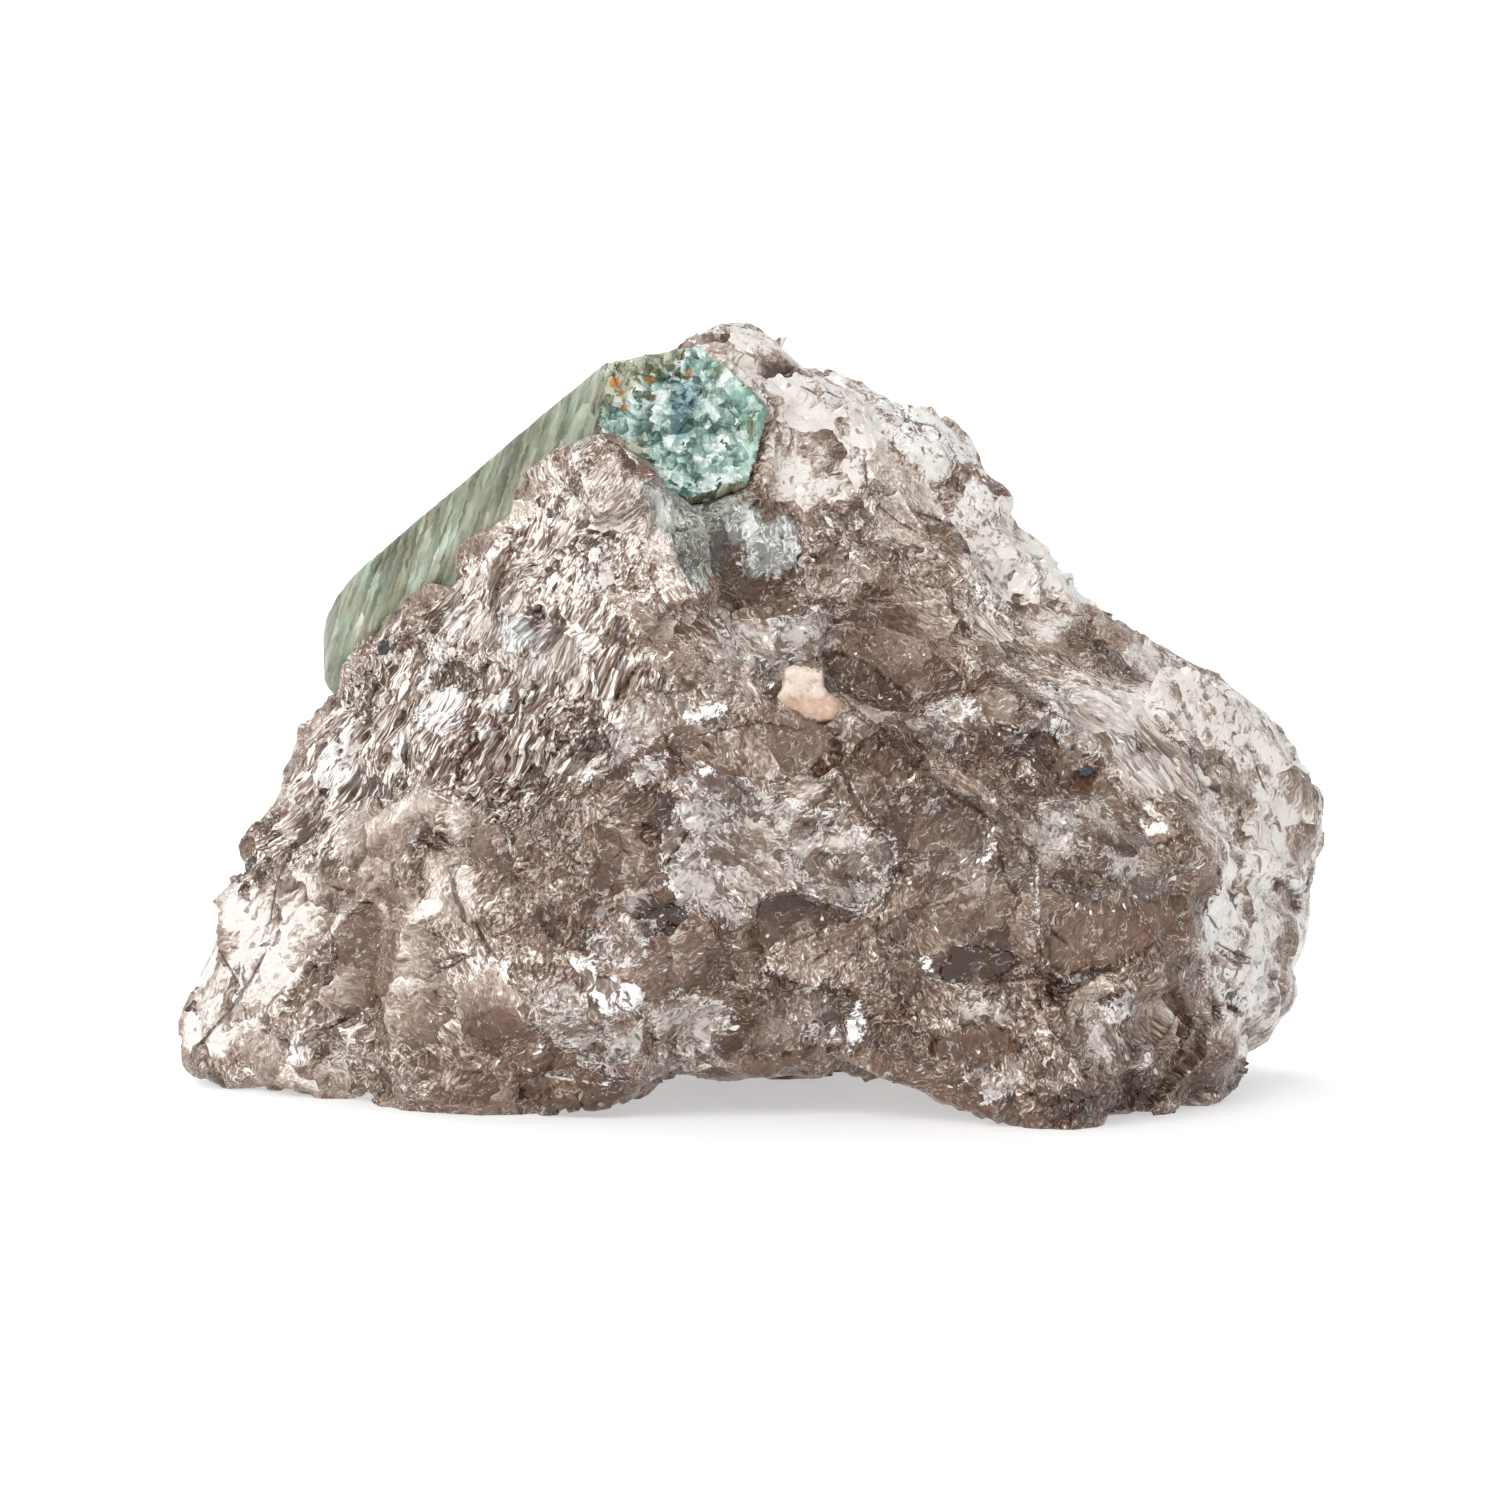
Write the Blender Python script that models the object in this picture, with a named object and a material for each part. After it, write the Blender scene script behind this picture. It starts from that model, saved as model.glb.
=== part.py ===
"""An aquamarine crystal in a broken lump of smoky quartz, about 120 mm wide.

The lump stands as it lies on a table: X runs to the right, Y away from the viewer and Z up. The origin is under the
middle of the whole specimen, on the surface that it rests on. Places are given in millimetres.
"""

import math

import bmesh
import bpy
import numpy as np
from mathutils import Matrix, Vector
from mathutils.bvhtree import BVHTree

MM = 0.001
FIT_GAP = 0.3

# The lump of quartz
HEART = (0.0, 2.0, 33.0)
HALF_SIZE = (60.0, 38.0, 40.0)
ROUGH_SEED = 11
CRUMPLE = (0.055, 0.025)
# Flat broken faces: how far apart, how tilted and how high their steps are
FACE_APART = 7.5
FACE_TILT = 0.19
FACE_STEP = 1.2
EVENING_ROUNDS = 2
LEAST_LEAN = 0.5

# Corners along the outline that shows from the front, clockwise from the left tip
OUTLINE = (
    (-60.0, 2, 5), (-57.7, 5, 10), (-55.6, 7, 17), (-52.4, 9, 25), (-49.6, 10, 30),
    (-47.1, 10, 34.5), (-43.4, 9, 39.5), (-6.4, -3, 78.4), (-5.0, 2, 79.5),
    (-2.6, 4, 79.2), (0.5, 3, 78.6), (4.5, 4, 77.3), (7.7, 4, 73.7), (10.9, 5, 72),
    (14.6, 6, 72), (18.2, 6, 71.8), (22.5, 7, 68.6), (27.7, 7, 62.3), (32.0, 7, 58),
    (34.3, 6, 53.4), (34.6, 5, 50), (40.4, 5, 47.6), (44.6, 6, 45), (48.8, 7, 42.2),
    (54.1, 7, 39.6), (57.3, 7, 36.9), (59.4, 7, 32.7), (60.0, 6, 29.5), (59.5, 5, 23.3),
    (59.1, 4, 17), (57.8, 2, 8.7), (55.7, 0, 5.2), (53.0, -4, 3.4), (51.2, -10, 1.4),
    (47.4, -20, 0.9), (41.6, -25, 0.9), (37.6, -28, 0.6), (33.8, -34, -0.4),
    (30.2, -33.5, -0.4), (26.0, -33, 2.0), (21.8, -32, 3.2), (17.0, -31, 4.4), (13.6, -30, 5.7),
    (10.9, -29, 5.7), (5.6, -28, 5.7), (0.3, -28, 5.5), (-5.0, -28, 5.1), (-10.2, -28, 4.6),
    (-12.9, -27.5, 3.3), (-17.6, -25, 0.7), (-21.8, -23.5, -0.6), (-29.2, -23.5, -0.6),
    (-33.4, -21, -0.3), (-40.8, -14, 1.2), (-47.1, -10, 1.1), (-53.5, -5, 1.6), (-58.7, 0, 3.0),
)

# The buttress on the left: its ridge from the peak down, and its edge along the crystal
BUTTRESS = (
    (-15.0, -23, 69.3), (-11.3, -24, 66.8), (-8.3, -23.7, 64), (-7.1, -25, 57.3),
    (-5.3, -26, 54.2), (-2.8, -26, 50), (2.4, -26.5, 44.7),
    (-19.7, -17, 67.2), (-21.8, -15.5, 63.8), (-25.7, -11.5, 61.8), (-28.3, -9, 59),
    (-30.8, -7, 54.6), (-35.9, -2, 51.4), (-39.4, 1, 47.9), (-41.9, 5, 43.5),
)
LEFT_FLANK = (
    (-16.6, -22, 61.2), (-21.8, -20, 53.6), (-30.3, -11, 47.3), (-36.6, -4, 39.2),
    (-13.4, -26.5, 50), (-19.7, -24, 43.4), (-28.2, -17, 36.3), (-38.7, -7, 31),
    (-45.0, -1, 27.2), (-10.2, -30, 39.8), (-6.0, -28, 43.8), (-32.4, -9, 41.8),
    (-42.9, 3, 34.2), (-19.7, -28, 35.3),
)
# The rounded lobe at the lower left and the clear facet beside it
LOWER_LEFT = (
    (-33.4, -17, 32.6), (-41.3, -10, 24.9), (-23.9, -28, 30), (-31.3, -25, 26.5),
    (-28.2, -30, 18.5), (-36.6, -24, 15.8), (-39.9, -18, 21.8), (-46.1, -12, 13.5),
    (-51.0, -7, 6.9), (-49.4, -4, 22.9), (-54.5, 1, 13.2), (-26.0, -30, 11.1),
    (-32.4, -25, 5.3), (-21.8, -27, 5.5), (-41.9, -16, 6.5),
)
# The grainy plateau in the middle, and the darker steps under it
MIDDLE = (
    (-16.6, -32.5, 28.4), (-17.6, -33.5, 20), (-13.4, -34.5, 14.6), (-11.3, -31, 8.1),
    (-5.0, -30, 9), (-6.0, -31.5, 18.7), (-9.2, -32, 34.7), (-2.8, -31, 36.2),
    (-0.2, -34.5, 29.6), (-5.0, -34.5, 24.8), (6.1, -31.5, 34.6), (10.3, -33, 29.5),
    (14.0, -33, 24.7), (5.6, -34.5, 22.7), (-0.7, -34.5, 20.1), (1.4, -30.5, 16),
    (8.8, -30.5, 17), (5.6, -30, 10.7), (12.4, -31, 12.9),
)
# Around and under the crystal's broken end, then right along the upper front
UPPER_FRONT = (
    (3.5, -9.5, 70.5), (1.9, -12.5, 66.6), (-0.2, -15, 63.4), (-5.0, -17.5, 62),
    (-1.8, -7, 77.1), (1.4, -8.5, 74.1), (-5.0, -18, 58.7), (1.4, -19, 53.5),
    (5.6, -21, 49.4), (7.7, -25, 44.5), (15.1, -20, 48.3), (21.9, -24, 42.8),
    (14.0, -14, 57.2), (7.7, -13, 60.3), (1.4, -16, 59.5), (4.5, -11.5, 65.4),
    (6.6, -8, 70.3), (10.9, -8, 65), (3.5, -3, 75.1), (16.1, -5, 64.7), (19.8, -8, 57.6),
    (24.6, -10, 52.5), (16.7, 0, 68.4), (23.0, 1, 63), (26.7, -1, 55.8), (32.0, 0, 52.5),
    (36.7, -4, 45.5), (29.8, -8, 48),
)
RIGHT_FRONT = (
    (9.3, -29, 40.2), (16.1, -28.5, 37.5), (20.4, -32, 34.7), (22.5, -33.5, 27.4),
    (16.1, -34, 23.3), (26.7, -27, 39.4), (32.0, -18, 43.8), (36.2, -26, 34),
    (30.4, -32.5, 28.4), (25.1, -35.5, 20.2), (31.4, -34, 23.8), (38.3, -31, 27.2),
    (39.3, -34.5, 18.5), (45.7, -21, 32.5), (40.4, -16, 39.4), (49.3, -18, 26.9),
    (50.4, -17, 21.5), (47.2, -24, 19), (49.3, -20, 10.1), (42.5, -32.5, 7.7),
    (33.5, -37.5, 6.6), (37.2, -37, 13), (26.7, -36, 12.9), (20.4, -33.5, 11.5),
    (18.2, -32, 7.2),
)
RIGHT_LOBE = (
    (53.0, -4, 33.8), (55.7, -5, 25.5), (54.6, -7, 17.2), (52.0, -12, 12),
    (54.6, -7, 7.7), (50.4, -17, 4.5), (46.2, -8, 40.6),
)
# The bed of the crystal, which its pocket is cut from, and the shoulder behind it
CRYSTAL_BED = (
    (-9.0, -12, 69), (-12.0, -9, 66.5), (-19.1, -3.7, 60.2), (-26.4, 3.1, 53.5),
    (-33.8, 9.9, 46.9), (-40.0, 14, 41), (-8.0, 3, 72), (-14.0, 6, 64), (-21.0, 12, 57),
    (-28.0, 18, 50), (-34.5, 23, 43.5),
)
BACK = (
    (4, 12, 72), (16, 13, 65), (27, 14, 54), (12, 20, 60), (-4, 17, 63),
    (-40, 27, 34), (-30, 29, 41), (-17, 23, 51), (-5, 27, 54), (8, 30, 49), (20, 24, 51),
    (32, 19, 45), (43, 18, 39), (52, 16, 32), (-50, 20, 22), (-44, 30, 22), (-32, 36, 25),
    (-18, 33, 37), (-4, 36, 35), (10, 38, 30), (24, 32, 35), (38, 29, 28), (50, 22, 22),
    (-55, 12, 10), (-48, 25, 8), (-36, 33, 10), (-20, 38, 13), (-2, 35, 15), (14, 37, 12),
    (28, 35, 17), (42, 29, 12), (54, 15, 10),
)
# The underside: a foot at the right, a foot at the left and a broad one behind the arch
UNDERSIDE = (
    (-50, 14, 2), (-42, 24, 1.5), (-28, 30, -0.6), (-12, 32, -0.7), (6, 31, -0.7),
    (22, 29, 0.8), (38, 22, 3), (50, 8, 2.5), (30, -30, -0.8), (38, -25, -0.6), (34, -22, -0.2),
    (27, -25, 1.2), (-30, -18, -0.7), (-22, -18, -0.7), (-27, -12, 0.6), (-36, -14, 0.3),
    (-24, 16, -0.6), (-8, 10, -0.7), (10, 9, -0.7), (24, 16, -0.3), (-5, -20, 6), (8, -20, 6.5),
    (16, -14, 5.5), (0, -8, 4.5), (-12, -12, 4), (22, -4, 3), (-2, 1, 2.4), (-45, 3, 1.5),
    (-38, 11, 1.2), (44, -6, 2.5), (36, 4, 2.2), (19, -23, 4.5),
)

# Shell-shaped chips: middle, reach and depth
SCOOPS = (
    ((-1, -17, 57), 6.5, 1.8),  # under the crystal's end
    ((14, -21, 48), 8.0, 1.3),  # dark smooth face
    ((20, -30, 33), 6.0, 0.9),
    ((40, -33, 21), 8.0, 1.2),
    ((5, -31, 15), 7.0, 1.2),
    ((-44, -12, 15), 7.5, 1.0),
    ((-30, -27, 14), 6.0, 0.9),
    ((38, -26, 34), 6.0, 1.4),
    ((26, -12, 50), 6.0, 1.1),
    ((50, -18, 17), 6.5, 1.5),
    ((20, -3, 61), 6.0, 1.2),
    ((56, -5, 25), 7.0, 1.2),
    ((8, 28, 48), 12.0, 2.2),
    ((-18, 32, 34), 11.0, 1.8),
    ((26, 33, 27), 12.0, 2.0),
    ((-46, 25, 15), 9.0, 1.5),
    ((48, 22, 22), 10.0, 1.8),
    ((14, 17, 64), 8.0, 1.4),
)

# The crystal: a six sided prism along AXIS, from its broken end near the viewer
END_MIDDLE = (-6.8, -15.0, 71.2)
AXIS = (-0.613, 0.565, -0.552)
TOP_CORNER = (0.05, 0.725, 0.687)
BREAK_FACING = (0.34, -0.814, 0.478)
BED_START = 2.0
# Turn from the top corner in degrees, and reach from the axis
CORNERS = ((0, 9.2), (64, 9.8), (119, 9.1), (180, 9.3), (242, 9.0), (300, 9.5))
# Rounding of the far end: how far along the axis, and how wide it is there
ROUNDING = ((43.5, 1.0), (46.8, 0.975), (49.6, 0.925), (52.0, 0.85), (54.0, 0.73), (55.3, 0.56))
BED_RINGS = ((20.0, 1.0), (43.5, 1.0), (49.3, 0.94), (52.8, 0.82), (55.3, 0.60))
SIDE_PARTS = 3
RING_APART = 3.0
GROWTH_STEP = 0.13
BREAK_RINGS = (0.8, 0.55, 0.28)
BREAK_DEPTH = 0.8
CRYSTAL_SEED = 4

# Other minerals: where they show from the front (x, z), and their outlines about that spot
FELDSPAR_SPOT = (5.6, 43.8)
FELDSPAR_OUTLINE = (
    (-3.4, -0.9), (-2.1, 1.1), (-1.8, 2.9), (0.4, 3.2), (2.4, 2.8), (2.5, 1.2), (3.3, -0.3),
    (2.7, -2.0), (0.8, -2.5), (-1.1, -1.6),
)
# Levels are a height over the quartz and a width there
FELDSPAR_LEVELS = ((0.25, 0.93), (-0.35, 1.0), (-3.2, 0.6))
# Black tourmaline grains: spot, length, thickness and lean from level in degrees
TOURMALINE_RIGHT = ((35.1, 35.8), 1.5, 0.9, 25)
TOURMALINE_LEFT = ((-38.2, 46.6), 1.6, 1.2, 60)
TOURMALINE_SECTION = ((-0.5, 0), (-0.3, 0.5), (0.3, 0.5), (0.5, 0), (0.3, -0.5), (-0.3, -0.5))
TOURMALINE_LEVELS = ((0.25, 0.9), (-0.2, 1.0), (-1.0, 0.8))
POCKET_MOUTH = 1.8
VIEWER_SIDE = -200.0
GROUND_SIZE = (200, 200, 20)


def material(name, colour, roughness):
    """A Principled material with one colour."""
    made = bpy.data.materials.new(name)
    made.use_nodes = True
    shader = made.node_tree.nodes["Principled BSDF"]
    shader.inputs["Base Color"].default_value = (*colour, 1.0)
    shader.inputs["Roughness"].default_value = roughness
    shader.inputs["Metallic"].default_value = 0.0
    return made


def collection(name):
    made = bpy.data.collections.new(name)
    bpy.context.scene.collection.children.link(made)
    return made


def add_object(name, bm, finish, group):
    """Turns a bmesh in millimetres into a named object in metres."""
    bmesh.ops.transform(bm, matrix=Matrix.Scale(MM, 4), verts=bm.verts)
    bmesh.ops.recalc_face_normals(bm, faces=bm.faces)
    mesh = bpy.data.meshes.new(name)
    bm.to_mesh(mesh)
    bm.free()
    if finish:
        mesh.materials.append(finish)
    made = bpy.data.objects.new(name, mesh)
    group.objects.link(made)
    return made


def cage():
    """The lump's corners joined by flat faces. Their directions from the heart are wrapped by a hull."""
    corners = np.array(
        OUTLINE + BUTTRESS + LEFT_FLANK + LOWER_LEFT + MIDDLE + UPPER_FRONT + RIGHT_FRONT
        + RIGHT_LOBE + CRYSTAL_BED + BACK + UNDERSIDE, float
    )
    ways = (corners - HEART) / HALF_SIZE
    ways /= np.linalg.norm(ways, axis=1)[:, None]
    bm = bmesh.new()
    for way in ways:
        bm.verts.new(way)
    bmesh.ops.convex_hull(bm, input=bm.verts)
    for vert, corner in zip(bm.verts, corners):
        vert.co = corner
    return bm


def crumple(bm, share, chance):
    """Splits every face in four and moves each new point in or out by a share of its edge."""
    old = len(bm.verts)
    bmesh.ops.subdivide_edges(bm, edges=bm.edges, cuts=1, use_grid_fill=True)
    bmesh.ops.triangulate(bm, faces=[f for f in bm.faces if len(f.verts) > 3])
    bm.verts.ensure_lookup_table()
    bm.normal_update()
    for vert in bm.verts[old:]:
        reach = sum(e.calc_length() for e in vert.link_edges) / len(vert.link_edges)
        vert.co += vert.normal * reach * 2 * share * chance.uniform(-1.0, 1.0)


def spaced(spots, apart, chance):
    """Numbers of some of the spots, picked in a random order with at least the given distance between them."""
    picked = []
    for i in chance.permutation(len(spots)):
        if not picked or np.linalg.norm(spots[picked] - spots[i], axis=1).min() > apart:
            picked.append(i)
    return np.array(picked)


def smooth_ways(bm, rounds):
    """The outward direction at every point, evened out with its neighbours."""
    bm.normal_update()
    bm.verts.index_update()
    ways = np.array([v.normal for v in bm.verts])
    ends = np.array([(e.verts[0].index, e.verts[1].index) for e in bm.edges])
    for _ in range(rounds):
        total = ways.copy()
        np.add.at(total, ends[:, 0], ways[ends[:, 1]])
        np.add.at(total, ends[:, 1], ways[ends[:, 0]])
        ways = total / np.linalg.norm(total, axis=1)[:, None]
    return ways


def break_flat(bm, chance):
    """Turns the surface into flat broken faces. Each point moves to the tilted plane of its nearest face."""
    ways = smooth_ways(bm, EVENING_ROUNDS)
    spots = np.array([v.co for v in bm.verts])
    middles = spaced(spots, FACE_APART, chance)
    facing = ways[middles] + chance.normal(0.0, FACE_TILT, (len(middles), 3))
    facing /= np.linalg.norm(facing, axis=1)[:, None]
    nearest = np.linalg.norm(spots[:, None] - spots[middles][None], axis=2).argmin(axis=1)
    plane = facing[nearest]
    away = ((spots[middles][nearest] - spots) * plane).sum(axis=1)
    lean = np.maximum((ways * plane).sum(axis=1), LEAST_LEAN)
    shift = np.clip(away / lean, -FACE_STEP, FACE_STEP)
    for vert, spot in zip(bm.verts, spots + ways * shift[:, None]):
        vert.co = spot


def scoop(bm, middle, reach, depth):
    """Takes out a shallow shell-shaped chip, as a ball of glassy stone breaks away."""
    middle = Vector(middle)
    radius = (reach * reach + depth * depth) / (2 * depth)
    near = [v for v in bm.verts if (v.co - middle).length < reach]
    if not near:
        return
    out = sum((v.normal for v in near), Vector()).normalized()
    level = sum(((v.co - middle).dot(out) for v in near)) / len(near)
    ball = middle + out * (level + radius - depth)
    for vert in near:
        from_ball = vert.co - ball
        if from_ball.length < radius:
            vert.co = ball + from_ball.normalized() * radius


def quartz_cage():
    chance = np.random.default_rng(ROUGH_SEED)
    bm = cage()
    for share in CRUMPLE:
        crumple(bm, share, chance)
    break_flat(bm, chance)
    bm.normal_update()
    for middle, reach, depth in SCOOPS:
        scoop(bm, middle, reach, depth)
    return bm


def prism_corners():
    """The corners of the prism's section, as offsets from its axis."""
    axis = Vector(AXIS).normalized()
    top = Vector(TOP_CORNER)
    top = (top - axis * top.dot(axis)).normalized()
    side = top.cross(axis)
    return [
        (top * math.cos(math.radians(turn)) + side * math.sin(math.radians(turn))) * reach
        for turn, reach in CORNERS
    ]


def slide_to_break(offset):
    """How far along the axis a line at this offset from it meets the slanting broken end."""
    facing = Vector(BREAK_FACING).normalized()
    return -facing.dot(offset) / facing.dot(Vector(AXIS).normalized())


def loft(bm, rows, open_start=False):
    """Joins rows of points with faces, and closes the ends."""
    count = len(rows[0])
    for row, following in zip(rows, rows[1:]):
        for i in range(count):
            bm.faces.new((row[i], row[(i + 1) % count], following[(i + 1) % count], following[i]))
    if not open_start:
        bm.faces.new(rows[0])
    bm.faces.new(rows[-1])


def crystal_bed():
    """The plain prism that the crystal's pocket is cut with, wider than the crystal by the gap."""
    axis = Vector(AXIS).normalized()
    middle = Vector(END_MIDDLE)
    wider = FIT_GAP / math.cos(math.radians(30))
    corners = [c * (1 + wider / c.length) for c in prism_corners()]
    bm = bmesh.new()
    rows = [[bm.verts.new(middle + c + axis * (slide_to_break(c) - BED_START)) for c in corners]]
    for along, width in BED_RINGS:
        centre = middle + axis * (along + FIT_GAP)
        rows.append([bm.verts.new(centre + c * width) for c in corners])
    loft(bm, rows)
    return bm


def crystal():
    """The crystal, with low growth steps on its sides, a rough broken end and a rounded far end."""
    chance = np.random.default_rng(CRYSTAL_SEED)
    axis = Vector(AXIS).normalized()
    middle = Vector(END_MIDDLE)
    corners = prism_corners()
    outline = []
    for corner, following in zip(corners, corners[1:] + corners[:1]):
        outline += [corner.lerp(following, i / SIDE_PARTS) for i in range(SIDE_PARTS)]
    near = [middle + c + axis * slide_to_break(c) for c in outline]
    bm = bmesh.new()
    rows = [[bm.verts.new(spot) for spot in near]]
    first = ROUNDING[0][0]
    steps = int(first / RING_APART)
    for k in range(1, steps):
        row = []
        for i, offset in enumerate(outline):
            start = slide_to_break(offset)
            along = start + (first - start) * k / steps
            inwards = GROWTH_STEP * chance.uniform(0.0, 1.0) * (i % SIDE_PARTS > 0)
            row.append(bm.verts.new(middle + axis * along + offset * (1 - inwards / offset.length)))
        rows.append(row)
    for along, width in ROUNDING:
        rows.append([bm.verts.new(middle + axis * along + offset * width) for offset in outline])
    loft(bm, rows, open_start=True)
    facing = Vector(BREAK_FACING).normalized()
    ring = rows[0]
    for width in BREAK_RINGS:
        inner = []
        for spot in near:
            sunk = -facing * BREAK_DEPTH * chance.uniform(0.0, 1.0)
            inner.append(bm.verts.new(middle + (spot - middle) * width + sunk))
        for i in range(len(ring)):
            j = (i + 1) % len(ring)
            bm.faces.new((ring[j], ring[i], inner[i], inner[j]))
        ring = inner
    bm.faces.new(reversed(ring))
    bmesh.ops.triangulate(bm, faces=bm.faces)
    return bm


def grain(quartz, spot, outline, levels, gap):
    """A small grain set into the front of the quartz, or the pocket for it where there is a gap round it."""
    hit, _, _, _ = quartz.ray_cast(Vector((spot[0], VIEWER_SIDE, spot[1])), Vector((0, 1, 0)))
    outline = [Vector(corner) for corner in outline]
    outline = [corner * (1 + gap / corner.length) for corner in outline]
    heights = [height for height, _ in levels]
    if gap:
        heights[0] = POCKET_MOUTH
        heights[-1] -= gap
    bm = bmesh.new()
    rows = []
    for height, (_, width) in zip(heights, levels):
        rows.append([bm.verts.new((hit.x + u * width, hit.y - height, hit.z + v * width)) for u, v in outline])
    loft(bm, rows)
    return bm


def feldspar(quartz, gap):
    return grain(quartz, FELDSPAR_SPOT, FELDSPAR_OUTLINE, FELDSPAR_LEVELS, gap)


def tourmaline(quartz, spot, length, thick, lean, gap):
    """A short black six-sided grain that leans over."""
    turn = Matrix.Rotation(math.radians(lean), 2)
    outline = [turn @ Vector((along * length, across * thick)) for along, across in TOURMALINE_SECTION]
    return grain(quartz, spot, outline, TOURMALINE_LEVELS, gap)


def cut_out(target, cutter):
    cut = target.modifiers.new(f"cut {cutter.name}", "BOOLEAN")
    cut.operation = "DIFFERENCE"
    cut.object = cutter
    cut.solver = "EXACT"


def ground():
    """The block under the resting surface, which cuts the feet flat."""
    bm = bmesh.new()
    bmesh.ops.create_cube(bm, size=1.0)
    place = Matrix.LocRotScale((0, 0, -GROUND_SIZE[2] / 2), None, GROUND_SIZE)
    bmesh.ops.transform(bm, matrix=place, verts=bm.verts)
    return bm


def settle(parts, cutters):
    """Moves everything together so that the origin is under the middle of the specimen."""
    bpy.context.view_layer.update()
    graph = bpy.context.evaluated_depsgraph_get()
    spots = np.array([v.co for part in parts for v in part.evaluated_get(graph).data.vertices])
    low, high = spots.min(axis=0), spots.max(axis=0)
    shift = Vector((-(low[0] + high[0]) / 2, -(low[1] + high[1]) / 2, -low[2]))
    for piece in parts + cutters:
        piece.location = shift


def main():
    for old in list(bpy.data.objects):
        bpy.data.objects.remove(old)
    stone = collection("aquamarine_in_quartz")
    helpers = collection("cutters")
    smoky = material("smoky_quartz", (0.22, 0.15, 0.11), 0.25)
    beryl = material("aquamarine", (0.20, 0.36, 0.26), 0.35)
    peach = material("feldspar", (0.62, 0.40, 0.27), 0.5)
    black = material("tourmaline", (0.012, 0.013, 0.018), 0.2)

    lump = quartz_cage()
    surface = BVHTree.FromBMesh(lump)
    matrix = add_object("quartz_matrix", lump, smoky, stone)
    parts = [
        matrix,
        add_object("aquamarine_crystal", crystal(), beryl, stone),
        add_object("feldspar_grain", feldspar(surface, 0.0), peach, stone),
        add_object("tourmaline_grain_right", tourmaline(surface, *TOURMALINE_RIGHT, 0.0), black, stone),
        add_object("tourmaline_grain_left", tourmaline(surface, *TOURMALINE_LEFT, 0.0), black, stone),
    ]
    cutters = [
        add_object("crystal_pocket", crystal_bed(), None, helpers),
        add_object("feldspar_pocket", feldspar(surface, FIT_GAP), None, helpers),
        add_object("right_grain_pocket", tourmaline(surface, *TOURMALINE_RIGHT, FIT_GAP), None, helpers),
        add_object("left_grain_pocket", tourmaline(surface, *TOURMALINE_LEFT, FIT_GAP), None, helpers),
        add_object("resting_surface", ground(), None, helpers),
    ]
    for cutter in cutters:
        cutter.hide_render = True
        cutter.display_type = "WIRE"
        cut_out(matrix, cutter)
    settle(parts, cutters)


main()
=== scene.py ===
"""The look of an aquamarine crystal in a broken lump of smoky quartz.

Places on the front are given as they show in the photograph, in pixels, and become millimetres on the stone
through seen_at. Everything else is in millimetres, in the frame's own directions: X to the right, Y away and
Z up.
"""

import math

import bmesh
import bpy
import numpy as np
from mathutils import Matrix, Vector, noise
from mathutils.bvhtree import BVHTree


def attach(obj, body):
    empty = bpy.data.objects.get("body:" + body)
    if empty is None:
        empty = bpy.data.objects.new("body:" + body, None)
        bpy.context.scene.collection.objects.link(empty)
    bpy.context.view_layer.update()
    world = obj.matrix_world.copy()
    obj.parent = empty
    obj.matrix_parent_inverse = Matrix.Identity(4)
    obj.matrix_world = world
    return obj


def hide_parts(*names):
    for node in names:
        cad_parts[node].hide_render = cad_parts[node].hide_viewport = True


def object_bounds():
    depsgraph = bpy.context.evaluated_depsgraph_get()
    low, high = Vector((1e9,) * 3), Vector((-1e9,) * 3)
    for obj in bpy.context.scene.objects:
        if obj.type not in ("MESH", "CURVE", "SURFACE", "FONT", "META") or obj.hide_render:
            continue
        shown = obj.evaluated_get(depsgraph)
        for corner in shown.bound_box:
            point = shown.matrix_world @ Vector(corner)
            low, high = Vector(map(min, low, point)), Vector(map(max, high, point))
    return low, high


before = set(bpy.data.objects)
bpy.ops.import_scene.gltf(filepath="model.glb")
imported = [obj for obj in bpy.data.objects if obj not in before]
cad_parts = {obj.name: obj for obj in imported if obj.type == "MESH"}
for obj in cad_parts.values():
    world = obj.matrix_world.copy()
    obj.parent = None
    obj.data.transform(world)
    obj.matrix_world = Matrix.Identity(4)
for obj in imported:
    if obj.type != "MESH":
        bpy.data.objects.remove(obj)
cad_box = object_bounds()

MM = 0.001

# The photograph: size of a pixel on the stone, the pixel over the origin, and the camera's look down
PIXEL = 0.10545
PIXEL_UP = 0.10603
MIDDLE_COLUMN = 751.9
FOOT_ROW = 1085.7
LOOK_DOWN = math.radians(6.0)
LEAN = math.tan(LOOK_DOWN)
CAMERA_AWAY = 1318.3
CAMERA_TARGET = (-0.2, 0.0, 35.6)
LENS = 300.0
SENSOR = 36.0

# Detail of the quartz: size of its mesh, the turn in degrees that makes an edge sharp, and the ways that
# slivers and fibres run
QUARTZ_VOXEL = 0.33
QUARTZ_FACES = 196000
QUARTZ_CRISP = 38.0
SMOOTHING = 5
LEFT_WAY = (-0.5, 0.15, -0.85)
RIGHT_WAY = (0.62, 0.1, -0.78)
# Small steps of the right edge: how far right it starts, and the height, reach and move of each
RIGHT_FROM = 48.0
RIGHT_FULL = 55.0
RIGHT_EDGE = ((23.2, 1.2, 1.0), (19.6, 1.2, -1.0), (5.8, 1.8, -1.7), (15.0, 2.5, 0.5))
# The resting spots lie under this height, and the groove within this distance of the prism
RESTING_UNDER = 0.3
GROOVE_NEAR = 0.6
GROOVE_FAR = 2.2
# Stone thinner than this is painted lighter, as painted light coming through it, and thicker stone isn't
THIN_STONE = 10.0
THICK_STONE = 32.0
# How far the copies that fill the grains' pockets swell, and which way they lie deeper
FILLING_SWELL = 0.45
INTO_STONE = (0.0, 0.6, -0.1)
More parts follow.
